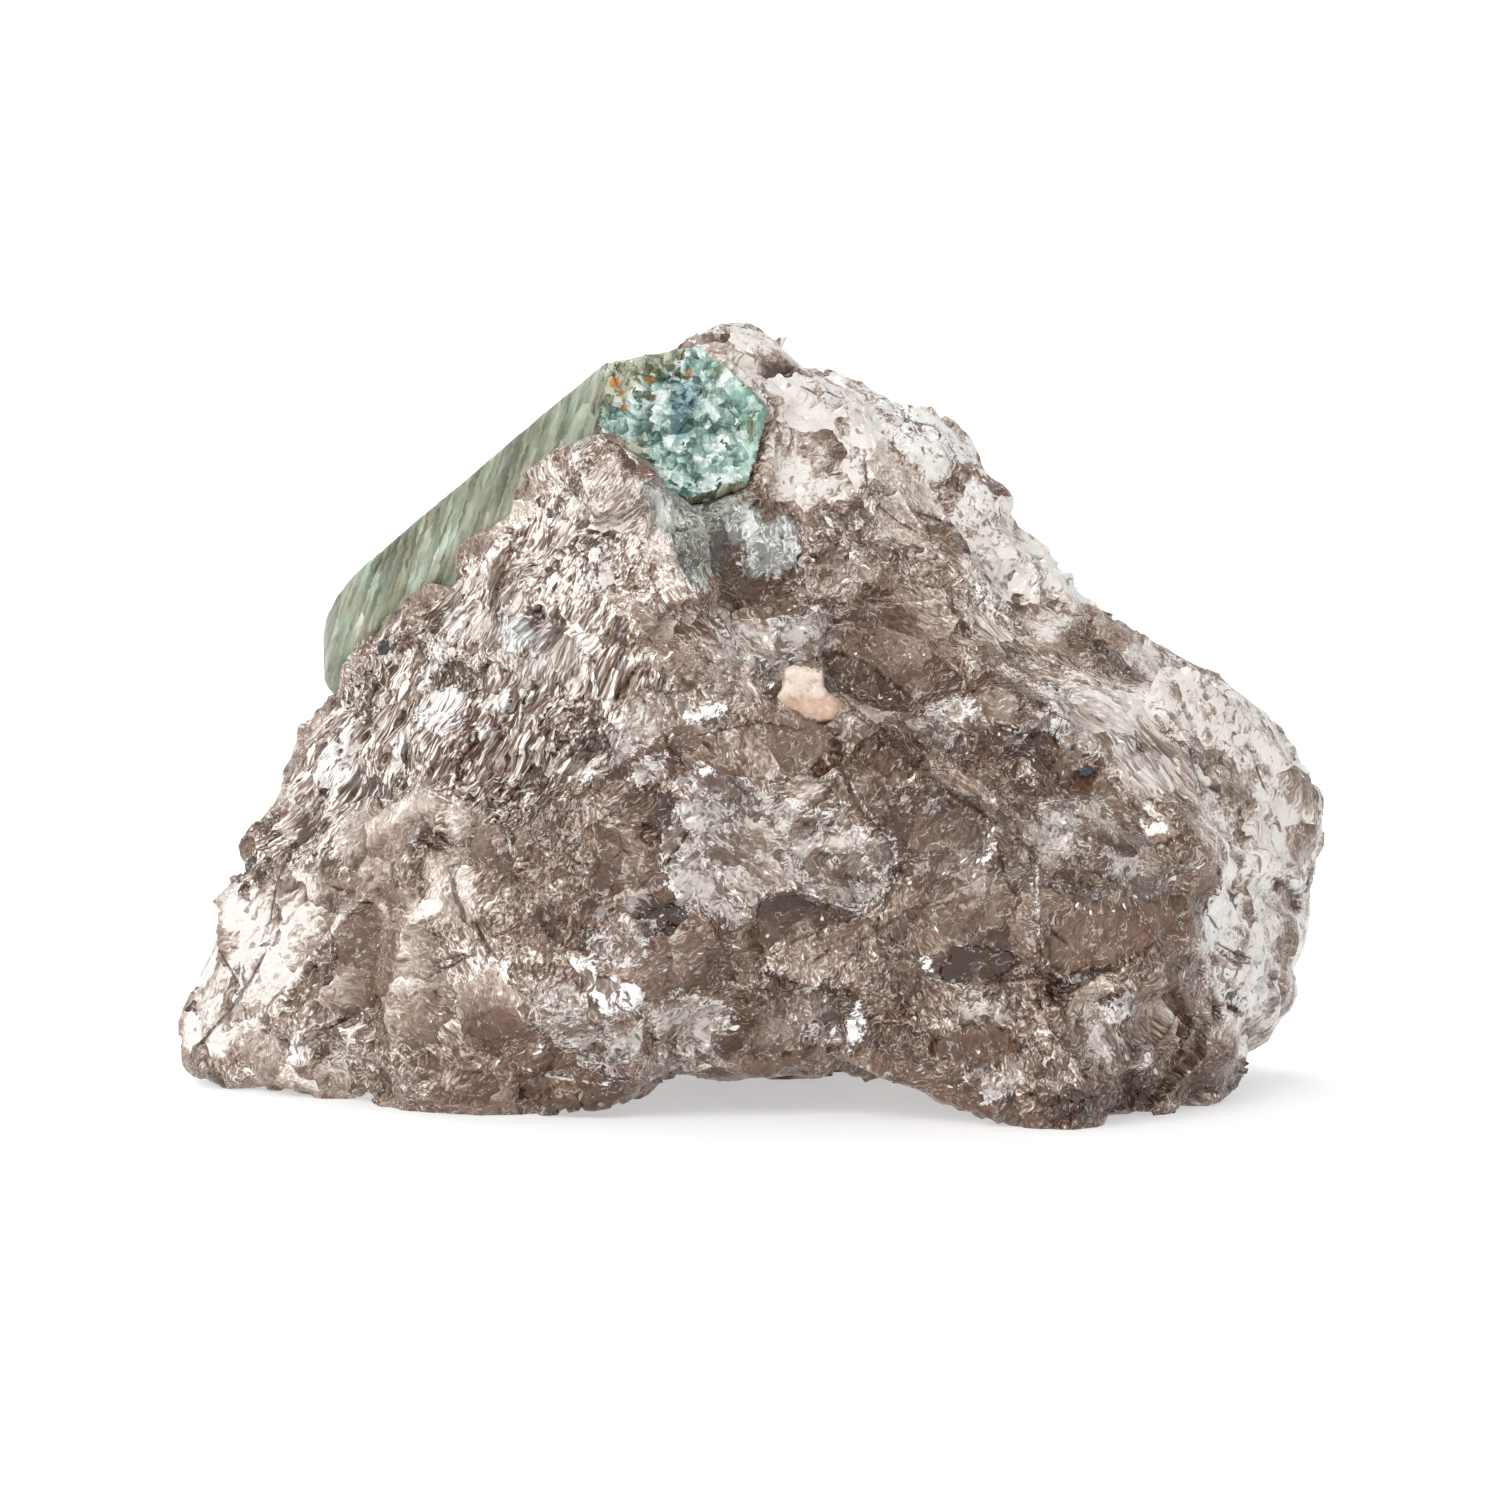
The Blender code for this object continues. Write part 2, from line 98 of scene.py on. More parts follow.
# How far the patches stand proud of the stone or lie in it
VEIL_RISE = 0.3
BRIGHT_RISE = 0.3
PALE_RISE = 0.22
DARK_RISE = -0.4
SMOOTH_RISE = -0.1
CRACK_DEPTH = 0.35
EDGE_RISE = 0.2

# Detail of the aquamarine: size of its mesh, how far it fills its groove, its end and its long axis
BERYL_VOXEL = 0.26
BERYL_CRISP = 35.0
BERYL_SWELL = 0.3
END_MIDDLE = (-7.3, -14.7, 71.2)
END_REACH = (12.0, 8.0)
AXIS = (-0.613, 0.565, -0.552)

# Detail of the feldspar: size of its mesh, how far it stands out, and the height of its whitish top
FELDSPAR_VOXEL = 0.14
FELDSPAR_CRISP = 35.0
FELDSPAR_SWELL = 0.28
FELDSPAR_TOP = 44.2

# Detail of the tourmaline: size of its mesh, and how the grains are drawn out
TOURMALINE_VOXEL = 0.07
TOURMALINE_CRISP = 30.0
TOURMALINE_SWELL = 0.05
FLECK_STRETCH = (1.15, 1.1, 0.85)
SPECK_STRETCH = (0.9, 1.1, 1.1)

# What the materials read at each point
QUARTZ_FIELDS = (
    "veil", "bright", "pale", "smooth", "dark", "warm", "tinted", "crust", "flank", "fibres", "clear",
    "crack_near", "crack_side", "edge_near", "edge_side", "front", "glow",
)
BERYL_FIELDS = ("end", "blue", "rust", "rim", "olive", "white")

# Light through quartz and beryl
QUARTZ_IOR = 1.544
QUARTZ_SMOKE = (0.72, 0.61, 0.52)
QUARTZ_DENSITY = 32.0
BERYL_IOR = 1.577
BERYL_TEAL = (0.45, 0.75, 0.66)
BERYL_DENSITY = 60.0

# Tones of the quartz, from dark to light
SMOKE = (
    (0.1, (0.038, 0.014, 0.007)), (0.25, (0.094, 0.048, 0.028)), (0.4, (0.168, 0.101, 0.069)),
    (0.52, (0.278, 0.194, 0.147)), (0.64, (0.475, 0.382, 0.322)), (0.8, (0.92, 0.87, 0.82)),
)
RED_BROWN = (0.2, 0.1, 0.06)
CRACK_AND_STEP_SHADE_BROWN = (0.06, 0.032, 0.02)
FLAKE_AND_GLINT_WHITE = (0.93, 0.91, 0.89)
GLINT_AND_SPLINTER_WHITE = (0.92, 0.91, 0.90)

# Tones of the prism's sides and of its broken end, from dark to light
SAGE = (
    (0.12, (0.04, 0.044, 0.018)), (0.32, (0.12, 0.13, 0.07)), (0.5, (0.225, 0.24, 0.16)),
    (0.68, (0.36, 0.375, 0.28)), (0.9, (0.66, 0.68, 0.60)),
)
TEAL = (
    (0.12, (0.045, 0.095, 0.08)), (0.3, (0.14, 0.245, 0.205)), (0.48, (0.27, 0.41, 0.355)),
    (0.66, (0.47, 0.61, 0.55)), (0.84, (0.88, 0.94, 0.91)),
)
OCHRE = (0.33, 0.235, 0.12)
BERYL_EDGE_WHITE = (0.80, 0.87, 0.84)
RUST_DARK = (0.34, 0.085, 0.012)
RUST_LIGHT = (0.6, 0.22, 0.04)

# The table, the tent's height and brightness low down and high up, and the place, spread in degrees and
# strength of the lights
TABLE_GREY = 0.56
TABLE_GLOW = 0.4
TABLE_HALF = 12.0
TENT_LOW = (0.1, 1.0)
TENT_HIGH = (0.6, 0.6)
LEFT_LIGHT = ((-0.45, -0.75, 0.6), 36.0, 1.5)
BACK_LIGHT = ((-0.3, 0.55, 0.75), 34.0, 1.2)
EXPOSURE = 0.25

# What shows on the front of the quartz, each patch by its corners in the photograph.
# Cottony grey-white veils
VEILS = (
    ((718, 616), (748, 622), (783, 619), (824, 616), (837, 630), (824, 654), (800, 671), (748, 677),
     (724, 666), (718, 642)),
    ((698, 771), (677, 809), (663, 839), (671, 877), (692, 906), (724, 924), (748, 924), (759, 891),
     (783, 880), (833, 900), (865, 912), (886, 889), (886, 839), (842, 809), (795, 803), (786, 792),
     (751, 786)),
    ((613, 733), (645, 704), (677, 701), (671, 724), (633, 754), (625, 765)),
    ((636, 762), (663, 757), (666, 777), (642, 789), (630, 777)),
    ((913, 723), (922, 703), (948, 697), (977, 703), (1013, 729), (1042, 711), (1083, 732), (1106, 729),
     (1109, 755), (1095, 761), (1065, 750), (1048, 729), (1018, 735), (977, 720), (957, 726), (948, 747),
     (930, 758)),
    ((1030, 810), (1046, 800), (1091, 799), (1108, 818), (1112, 834), (1083, 839), (1086, 851),
     (1070, 847), (1054, 858), (1024, 858), (1030, 842), (1022, 834)),
    ((1065, 1008), (1081, 994), (1102, 1000), (1113, 984), (1128, 986), (1126, 1005), (1105, 1024),
     (1108, 1040), (1091, 1043), (1075, 1019)),
    ((955, 989), (974, 986), (1014, 1000), (1014, 1011), (992, 1024), (982, 1028), (974, 1016),
     (952, 1011)),
    ((960, 1064), (974, 1060), (990, 1072), (1022, 1061), (1000, 1083), (990, 1091), (974, 1086)),
    ((650, 1018), (671, 986), (700, 989), (736, 1004), (721, 1036), (700, 1054), (661, 1061), (657, 1036)),
    ((536, 989), (589, 986), (607, 1007), (646, 1007), (643, 1043), (636, 1054), (586, 1061), (582, 1036),
     (543, 1018)),
    ((618, 921), (650, 923), (654, 946), (643, 964), (611, 954), (589, 939)),
    ((535, 978), (561, 972), (588, 984), (591, 996), (570, 1011), (541, 1005)),
    ((470, 620), (500, 612), (560, 630), (592, 640), (592, 670), (560, 685), (520, 675), (480, 650)),
    ((736, 514), (749, 506), (764, 522), (777, 527), (784, 514), (795, 532), (800, 550), (790, 573),
     (774, 575), (749, 583), (744, 570), (746, 550), (726, 544)),
    ((1100, 850), (1140, 860), (1150, 880), (1115, 885), (1085, 870)),
    ((1040, 690), (1080, 690), (1120, 730), (1150, 790), (1120, 790), (1080, 740)),
)
# Near-white flakes and glints
BRIGHT = (
    ((435, 691), (455, 688), (473, 694), (468, 722), (448, 736), (430, 728), (415, 712)),
    ((476, 732), (491, 726), (503, 735), (485, 741)),
    ((506, 726), (523, 729), (517, 741)),
    ((503, 691), (517, 688), (511, 708), (504, 717)),
    ((321, 764), (338, 752), (344, 776), (327, 788), (318, 779)),
    ((424, 690), (415, 694), (435, 659), (450, 641), (446, 662)),
    ((686, 713), (715, 704), (730, 707), (713, 718), (689, 727)),
    ((576, 782), (591, 769), (607, 772), (596, 782)),
    ((589, 971), (611, 968), (643, 982), (646, 996), (632, 1009), (607, 1007), (593, 989)),
    ((568, 950), (586, 948), (604, 964), (593, 975), (579, 964)),
    ((914, 946), (925, 954), (937, 975), (934, 982), (921, 964)),
    ((1134, 820), (1158, 823), (1161, 832), (1145, 832)),
    ((966, 579), (986, 585), (1013, 606), (1007, 612), (977, 606)),
    ((845, 1018), (857, 991), (864, 1025), (843, 1043)),
    ((860, 404), (901, 400), (927, 409), (957, 436), (975, 462), (948, 465), (942, 486), (927, 480),
     (904, 450)),
    ((1201, 970), (1215, 954), (1250, 962), (1231, 986), (1219, 1000)),
    ((1250, 965), (1266, 973), (1266, 994), (1241, 1008), (1225, 1003)),
    ((1211, 885), (1220, 901), (1212, 933), (1204, 944), (1196, 922), (1201, 906)),
    ((1285, 880), (1306, 872), (1306, 905), (1298, 900)),
    ((700, 770), (712, 764), (716, 772), (705, 778)),
    ((976, 848), (992, 836), (992, 852), (980, 860)),
    ((392, 745), (408, 728), (414, 742), (400, 762)),
    ((340, 735), (352, 716), (356, 730), (346, 748)),
)
# Light, smooth, pinkish beige faces
PALE = (
    ((230, 905), (281, 873), (318, 874), (356, 899), (372, 893), (344, 920), (319, 952), (294, 984),
     (268, 1017), (227, 1052), (192, 1034), (198, 990), (218, 937)),
    ((328, 832), (344, 808), (371, 799), (397, 801), (429, 788), (450, 799), (444, 811), (400, 822),
     (370, 850), (350, 870)),
    ((445, 802), (476, 799), (476, 835), (459, 843), (447, 811)),
    ((432, 849), (473, 846), (482, 908), (473, 923), (415, 917), (429, 893)),
    ((783, 780), (806, 773), (824, 783), (821, 798), (795, 803)),
    ((812, 833), (858, 830), (882, 838), (850, 850), (822, 850)),
    ((544, 773), (558, 760), (585, 761), (605, 773), (576, 776)),
    ((977, 691), (1001, 688), (1015, 703), (1010, 729), (986, 720)),
    ((685, 346), (703, 331), (749, 343), (779, 348), (818, 384), (851, 399), (853, 422), (815, 419),
     (769, 402), (713, 356)),
    ((772, 422), (815, 422), (853, 427), (866, 488), (815, 496), (805, 522), (779, 504), (759, 483),
     (767, 448)),
    ((856, 425), (879, 422), (899, 458), (927, 483), (950, 524), (917, 514), (864, 473)),
    ((960, 544), (986, 533), (998, 559), (995, 579), (974, 574)),
    ((1060, 620), (1065, 632), (1040, 640), (1010, 618), (1030, 600)),
    ((1133, 638), (1212, 685), (1279, 732), (1312, 776), (1320, 840), (1308, 869), (1268, 871),
     (1231, 804), (1194, 791), (1171, 726), (1142, 673)),
    ((1217, 1008), (1236, 1011), (1228, 1029), (1223, 1048), (1212, 1035)),
    ((1250, 911), (1306, 922), (1295, 981), (1266, 973), (1250, 954)),
    ((1100, 770), (1150, 745), (1180, 790), (1130, 795)),
    ((783, 669), (806, 667), (818, 672), (816, 681), (783, 683)),
    ((578, 520), (588, 480), (605, 452), (640, 480), (668, 505), (684, 590), (668, 592), (638, 540),
     (610, 535)),
)
# Smooth faces of the brown stone
SMOOTH = (
    ((839, 625), (871, 616), (897, 625), (956, 630), (959, 657), (950, 686), (924, 698), (888, 724),
     (853, 698), (818, 671)),
    ((847, 748), (871, 742), (912, 765), (900, 783), (889, 815), (874, 818), (853, 798)),
    ((891, 818), (912, 783), (950, 809), (1000, 842), (985, 859), (941, 842), (924, 865), (891, 877)),
    ((1083, 901), (1113, 890), (1161, 906), (1169, 936), (1134, 928), (1118, 954), (1091, 952)),
    ((1035, 930), (1073, 914), (1083, 952), (1054, 969), (1035, 954)),
    ((1003, 866), (1027, 866), (1030, 933), (1022, 946), (974, 938), (979, 917)),
    ((789, 906), (824, 912), (865, 918), (859, 941), (839, 965), (795, 977), (783, 956)),
    ((748, 924), (762, 897), (789, 886), (783, 912), (771, 941), (748, 962), (736, 950)),
    ((714, 1043), (732, 1007), (804, 996), (814, 1014), (796, 1050), (714, 1057)),
    ((914, 939), (1029, 946), (1025, 971), (1000, 989), (943, 986), (921, 961)),
    ((707, 736), (789, 715), (824, 724), (824, 771), (736, 786), (701, 759)),
    ((1212, 810), (1231, 807), (1244, 847), (1248, 922), (1241, 933), (1209, 861)),
    ((883, 895), (940, 880), (965, 935), (930, 945), (890, 940)),
    ((640, 640), (690, 600), (712, 660), (690, 700), (650, 690)),
)
# Dark brown stone, and deep steps darkened as painted shade
DARK = (
    ((374, 902), (382, 926), (368, 946), (344, 973), (321, 993), (306, 1017), (291, 1043), (277, 1034),
     (297, 981), (344, 920), (362, 905)),
    ((429, 823), (454, 842), (426, 840)),
    ((379, 887), (391, 870), (412, 861), (435, 882), (420, 896), (406, 911), (382, 893)),
    ((564, 744), (585, 738), (608, 735), (620, 753), (599, 758)),
    ((453, 729), (470, 709), (497, 714), (503, 729)),
    ((480, 780), (505, 760), (560, 745), (600, 775), (590, 800), (555, 830), (514, 845), (500, 812)),
    ((379, 656), (415, 632), (432, 650), (391, 697), (353, 688)),
    ((476, 1011), (503, 1002), (526, 1017), (532, 1052), (503, 1058), (467, 1040)),
    ((818, 648), (860, 660), (912, 700), (912, 724), (883, 707), (830, 690)),
    ((880, 903), (871, 935), (847, 971), (824, 994), (843, 959), (868, 924)),
    ((994, 853), (1000, 871), (982, 906), (965, 935), (956, 930), (977, 891)),
    ((957, 726), (1042, 732), (1095, 764), (1083, 791), (1024, 797), (971, 779), (942, 758)),
    ((1038, 970), (1118, 957), (1070, 981), (1051, 997), (1030, 1003), (1027, 986)),
    ((947, 938), (1027, 954), (1027, 970), (947, 986), (936, 970)),
    ((1201, 1056), (1247, 1056), (1241, 1086), (1142, 1099), (1035, 1120), (1081, 1088), (1161, 1080)),
    ((643, 1039), (650, 1021), (661, 1036), (646, 1052)),
    ((954, 1021), (1000, 1018), (1014, 1043), (964, 1061), (921, 1043)),
    ((670, 532), (688, 532), (690, 550), (685, 583), (675, 562)),
    ((1252, 874), (1274, 877), (1295, 890), (1307, 911), (1282, 914), (1250, 890)),
    ((757, 655), (772, 675), (768, 690), (752, 684)),
    ((697, 800), (655, 845), (640, 835), (668, 800)),
    ((590, 950), (570, 945), (545, 920), (575, 915), (610, 935)),
    ((1077, 615), (1106, 653), (1077, 650), (1062, 641)),
    ((1166, 952), (1191, 949), (1217, 1003), (1204, 1008), (1172, 976)),
    ((690, 1010), (760, 985), (850, 985), (880, 1010), (880, 1040), (800, 1050), (700, 1055)),
)
# Reddish brown, and the band under the arch tinted dark red-brown as painted shade
WARM_AND_UNDERSIDE_SHADE = (
    ((600, 1088), (654, 1062), (714, 1059), (804, 1052), (857, 1046), (904, 1055), (964, 1085),
     (1040, 1110), (1040, 1140), (600, 1140)),
    ((1041, 780), (1070, 780), (1094, 791), (1091, 799), (1041, 793)),
    ((476, 1011), (503, 1002), (560, 1040), (580, 1100), (440, 1110), (430, 1060)),
    ((954, 1021), (1000, 1018), (1014, 1043), (964, 1061), (921, 1043)),
    ((1083, 901), (1113, 890), (1161, 906), (1169, 936), (1118, 954), (1054, 972), (1035, 930)),
    ((758, 490), (775, 510), (800, 530), (775, 525)),
    ((815, 560), (880, 565), (910, 600), (860, 610), (820, 600)),
)
# Thin clear stone: see-through, and painted lighter as painted light coming through it
CLEAR = (
    ((675, 300), (790, 310), (870, 375), (880, 440), (850, 500), (790, 510), (765, 450), (770, 415),
     (735, 375)),
    ((853, 375), (902, 370), (980, 400), (1030, 470), (1080, 540), (1100, 590), (1080, 625), (1050, 640),
     (1013, 612), (966, 579), (948, 512), (927, 480), (898, 447)),
    ((1133, 630), (1212, 670), (1300, 725), (1330, 800), (1325, 900), (1310, 1000), (1255, 1070),
     (1215, 1010), (1188, 946), (1210, 880), (1195, 840), (1190, 800), (1150, 760), (1110, 690)),
    ((175, 1050), (200, 975), (228, 900), (281, 873), (356, 899), (319, 952), (268, 1017), (227, 1056)),
    ((647, 499), (667, 501), (672, 522), (667, 537), (654, 529)),
)
# Broad parts painted lighter, as painted light that comes through the stone
PAINTED_LIT_ZONES = (
    ((170, 1075), (215, 900), (330, 690), (455, 565), (600, 450), (665, 480), (690, 590), (560, 640),
     (440, 700), (360, 800), (345, 870), (380, 900), (330, 960), (270, 1080)),
    ((675, 300), (790, 310), (870, 375), (980, 400), (1100, 590), (1060, 640), (960, 580), (900, 500),
     (830, 500), (770, 480), (740, 400)),
    ((1075, 610), (1150, 640), (1300, 740), (1330, 830), (1310, 1000), (1250, 1060), (1190, 1000),
     (1210, 850), (1170, 760), (1100, 680)),
    ((520, 960), (660, 960), (700, 1010), (650, 1060), (540, 1050)),
    ((260, 1090), (290, 980), (420, 960), (480, 1000), (450, 1090)),
    ((480, 600), (600, 590), (640, 620), (600, 670), (500, 670)),
    ((850, 490), (960, 540), (1080, 610), (1200, 750), (1200, 810), (1130, 790), (1040, 690), (950, 620),
     (870, 580)),
    ((210, 1100), (290, 960), (350, 830), (400, 790), (490, 810), (515, 950), (460, 1000), (430, 1100)),
)
# Blue-green tint from the crystal
TINTED = (
    ((672, 504), (739, 496), (749, 493), (739, 514), (723, 544), (718, 575), (703, 596), (688, 585),
     (667, 539)),
    ((640, 480), (672, 500), (672, 540), (655, 530)),
)
# White crust with a trace of the crystal's colour
CRUST = (
    ((736, 514), (749, 506), (764, 522), (777, 527), (784, 514), (795, 532), (800, 550), (790, 573),
     (774, 575), (749, 583), (744, 570), (746, 550), (726, 544)),
    ((596, 372), (606, 405), (592, 440), (586, 456), (580, 440), (588, 410)),
    ((500, 628), (528, 622), (540, 640), (520, 652), (505, 648)),
)
# Stone in slivers that run down to the left
FLANK = (
    ((225, 900), (260, 820), (325, 700), (375, 645), (455, 580), (540, 500), (605, 452), (640, 480),
     (672, 505), (650, 560), (620, 600), (660, 660), (690, 700), (640, 700), (620, 760), (560, 800),
     (520, 850), (500, 830), (450, 790), (400, 795), (350, 820), (330, 860), (290, 868), (262, 880)),
)
# Stone in fibres that run down to the right
FIBRES = (
    ((620, 470), (640, 480), (672, 505), (680, 570), (720, 640), (790, 720), (740, 700), (690, 660),
     (640, 600), (615, 520)),
    ((950, 600), (1050, 640), (1130, 690), (1190, 760), (1200, 800), (1130, 800), (1080, 740),
     (1000, 680)),
    ((835, 690), (912, 730), (1000, 800), (1030, 850), (960, 800), (880, 740)),
    ((980, 870), (1000, 880), (965, 940), (945, 930)),
    ((1100, 985), (1200, 1000), (1240, 1060), (1150, 1100), (1080, 1060)),
)
# Dark cracks, and steps darkened as painted shade, with half their width in millimetres
CRACKS = (
    (0.14, ((293, 849), (277, 882), (271, 920))),
    (0.2, ((264, 955), (250, 981), (230, 1011), (202, 1041))),
    (0.35, ((457, 876), (464, 899), (470, 914))),
    (0.14, ((435, 973), (476, 952))),
    (0.12, ((441, 959), (473, 950))),
    (0.2, ((482, 920), (491, 940), (503, 956))),
    (0.14, ((514, 852), (517, 879), (529, 902))),
    (0.25, ((833, 733), (839, 765), (853, 801), (871, 824), (889, 842), (889, 883), (880, 905))),
    (0.16, ((850, 713), (897, 748), (941, 786), (985, 818), (1030, 850))),
    (0.16, ((818, 677), (853, 710), (897, 742), (935, 782))),
    (0.3, ((923, 786), (949, 807))),
    (0.14, ((879, 509), (898, 524), (914, 532))),
    (0.18, ((917, 514), (935, 520), (950, 525))),
    (0.14, ((927, 527), (932, 550))),
    (0.12, ((864, 463), (866, 488))),
    (0.14, ((828, 394), (837, 398))),
    (0.14, ((805, 390), (814, 395))),
    (0.16, ((1204, 915), (1211, 925))),
    (0.14, ((1211, 946), (1228, 960), (1247, 962))),
    (0.12, ((1213, 942), (1232, 952), (1246, 957))),
    (0.14, ((1255, 767), (1263, 788))),
    (0.16, ((1199, 786), (1212, 789))),
    (0.18, ((891, 877), (883, 905))),
    (0.14, ((792, 938), (812, 930), (828, 926))),
    (0.12, ((808, 960), (826, 948))),
    (0.14, ((984, 575), (990, 583))),
    (0.14, ((1022, 704), (1012, 712))),
    (0.14, ((240, 968), (235, 990))),
    (0.12, ((218, 950), (240, 986))),
    (0.14, ((425, 900), (434, 884))),
    (0.16, ((571, 738), (577, 754))),
    (0.16, ((583, 736), (589, 752))),
    (0.16, ((595, 733), (602, 750))),
    (0.16, ((606, 731), (613, 746))),
    (0.16, ((1030, 935), (1040, 965), (1062, 985))),
    (0.14, ((1186, 750), (1196, 790))),
    (0.12, ((1046, 929), (1058, 938))),
    (0.12, ((700, 736), (760, 722), (800, 730))),
    (0.12, ((640, 885), (670, 860), (690, 830))),
)
# Broken edges, painted bright partly as painted highlights, in the same way
EDGES = (
    (0.14, ((692, 906), (724, 924), (748, 924), (759, 891), (783, 880), (833, 900), (865, 912))),
    (0.12, ((812, 833), (830, 829), (858, 832), (886, 835))),
    (0.14, ((916, 744), (948, 747), (957, 726), (977, 720), (1018, 735), (1048, 729), (1065, 750),
            (1095, 761))),
    (0.18, ((1030, 858), (1031, 933), (1027, 946), (1054, 972))),
    (0.14, ((979, 869), (980, 890), (971, 906))),
    (0.12, ((1081, 962), (1105, 962), (1124, 952))),
    (0.12, ((1212, 810), (1209, 861), (1220, 890), (1241, 933))),
    (0.1, ((328, 832), (344, 808), (371, 799), (397, 801), (429, 788), (450, 799))),
    (0.12, ((372, 893), (344, 920), (319, 952), (294, 984), (268, 1017))),
    (0.12, ((860, 404), (880, 470), (930, 545), (975, 600), (1045, 645))),
    (0.16, ((637, 624), (654, 601), (672, 590))),
    (0.14, ((1211, 885), (1201, 906), (1188, 946), (1204, 970), (1219, 1003))),
    (0.12, ((841, 765), (856, 798), (874, 820), (893, 842), (893, 880))),
    (0.12, ((500, 805), (512, 828), (516, 850))),
    (0.14, ((545, 1000), (600, 1012), (650, 1010))),
    (0.14, ((625, 1074), (600, 1078), (560, 1072), (520, 1060))),
    (0.12, ((948, 980), (975, 984), (1014, 996))),
    (0.12, ((736, 514), (749, 530), (746, 570), (774, 580))),
    (0.1, ((1153, 703), (1171, 726), (1189, 750), (1194, 791), (1227, 800))),
    (0.12, ((700, 760), (750, 790), (800, 775))),
    (0.1, ((672, 505), (672, 540), (680, 570), (697, 600), (720, 640))),
)
# Flat broken faces: corners, the way that they face and how far they may move the surface
FACETS = (
    (((240, 890), (300, 872), (369, 898), (335, 945), (270, 1017), (225, 1045), (200, 1042), (215, 985)),
     (-0.62, -0.74, 0.26), 2.2),
    (((369, 898), (405, 930), (392, 990), (302, 1042), (268, 1022), (330, 950)), (0.28, -0.93, -0.22),
     1.8),
    (((820, 650), (850, 605), (930, 603), (990, 655), (965, 700), (900, 722), (838, 695)),
     (0.16, -0.93, 0.32), 1.4),
    (((884, 775), (960, 762), (1030, 830), (1010, 890), (905, 905), (893, 850)), (-0.08, -0.99, 0.1), 1.3),
    (((1035, 900), (1110, 880), (1150, 930), (1120, 960), (1048, 985)), (0.22, -0.96, -0.12), 1.4),
    (((905, 915), (985, 900), (1020, 950), (965, 985), (895, 985)), (-0.2, -0.97, -0.12), 1.2),
    (((755, 890), (800, 895), (868, 930), (835, 985), (765, 965)), (0.12, -0.98, -0.2), 1.6),
    (((775, 440), (850, 410), (872, 480), (835, 540), (795, 560), (768, 500)), (0.25, -0.82, 0.52), 1.5),
    (((700, 345), (770, 350), (830, 400), (790, 430), (760, 395)), (0.3, -0.7, 0.65), 1.2),
    (((1190, 895), (1240, 885), (1255, 960), (1235, 1010), (1205, 1000)), (0.75, -0.62, -0.1), 1.5),
    (((1150, 690), (1210, 690), (1285, 760), (1240, 850), (1215, 800), (1170, 740)), (0.72, -0.58, 0.36),
     1.5),
    (((440, 870), (515, 862), (528, 925), (470, 942)), (-0.24, -0.96, 0.1), 1.2),
    (((425, 800), (470, 800), (480, 855), (440, 850)), (-0.3, -0.85, 0.42), 1.0),
    (((690, 600), (740, 640), (775, 690), (700, 700), (650, 640)), (0.1, -0.86, 0.5), 1.3),
    (((640, 690), (770, 700), (840, 740), (800, 780), (690, 770)), (0.0, -0.98, 0.18), 1.2),
    (((1065, 990), (1170, 985), (1200, 1050), (1150, 1095), (1075, 1070)), (0.3, -0.9, -0.3), 1.4),
)
# The aquamarine's broken end, and what shows on it
BERYL_END = ((608, 366), (702, 348), (773, 416), (749, 484), (671, 508), (597, 445))
BERYL_BLUE = ((672, 397), (685, 386), (695, 394), (700, 404), (693, 417), (682, 427), (688, 437),
              (680, 445), (672, 437))
BERYL_RIM = ((726, 372), (745, 390), (769, 414), (767, 440), (756, 470), (742, 478), (745, 440),
             (735, 410))
BERYL_OLIVE = (
    ((606, 368), (682, 354), (675, 376), (640, 392), (626, 405), (598, 420), (594, 400)),
    ((611, 448), (649, 442), (647, 463), (631, 471), (616, 460)),
)
BERYL_WHITE = (
    ((693, 493), (713, 476), (739, 478), (736, 488), (703, 496)),
    ((588, 453), (598, 427), (611, 435), (606, 450)),
    ((640, 400), (668, 392), (664, 405), (645, 412)),
    ((700, 385), (712, 400), (722, 420), (714, 424), (703, 405)),
)
# Rust spots on the end: column, row and reach in millimetres
RUST = (
    (617, 388, 0.55), (651, 385, 0.4), (690, 379, 0.35), (626, 412, 0.4), (639, 374, 0.3), (656, 402, 0.3),
    (622, 398, 0.3), (646, 420, 0.2),
)


def seen_at(pixels):
    """Pixels of the photograph as millimetres to the right of the origin and up from it."""
    pixels = np.array(pixels, float)
    return np.stack(((pixels[:, 0] - MIDDLE_COLUMN) * PIXEL, (FOOT_ROW - pixels[:, 1]) * PIXEL_UP), axis=1)


def on_front(spots):
    """Where spots on the stone show from the front, in the same millimetres."""
    return np.stack((spots[:, 0], spots[:, 2] + LEAN * spots[:, 1]), axis=1)


def inside_by(flat, outline):
    """How many millimetres each flat spot lies inside an outline. Outside it is below zero."""
    corners = seen_at(outline)
    nearest = np.full(len(flat), 1e9)
    odd = np.zeros(len(flat), bool)
    for a, b in zip(corners, np.roll(corners, -1, axis=0)):
        edge = b - a
        share = np.clip(((flat - a) @ edge) / (edge @ edge), 0.0, 1.0)
        nearest = np.minimum(nearest, np.linalg.norm(flat - a - share[:, None] * edge, axis=1))
        crosses = (a[1] > flat[:, 1]) != (b[1] > flat[:, 1])
        odd ^= crosses & (flat[:, 0] < a[0] + (flat[:, 1] - a[1]) * edge[0] / (edge[1] or 1e-9))
    return np.where(odd, nearest, -nearest)


def inside_any(flat, outlines, reach=4.0):
    """The same for the outline that holds each spot deepest, down to the reach outside it."""
    found = np.full(len(flat), -reach)
    for outline in outlines:
        corners = seen_at(outline)
        low, high = corners.min(axis=0) - reach, corners.max(axis=0) + reach
        near = np.flatnonzero(np.all((flat > low) & (flat < high), axis=1))
        if len(near):
            found[near] = np.maximum(found[near], inside_by(flat[near], outline))
    return found


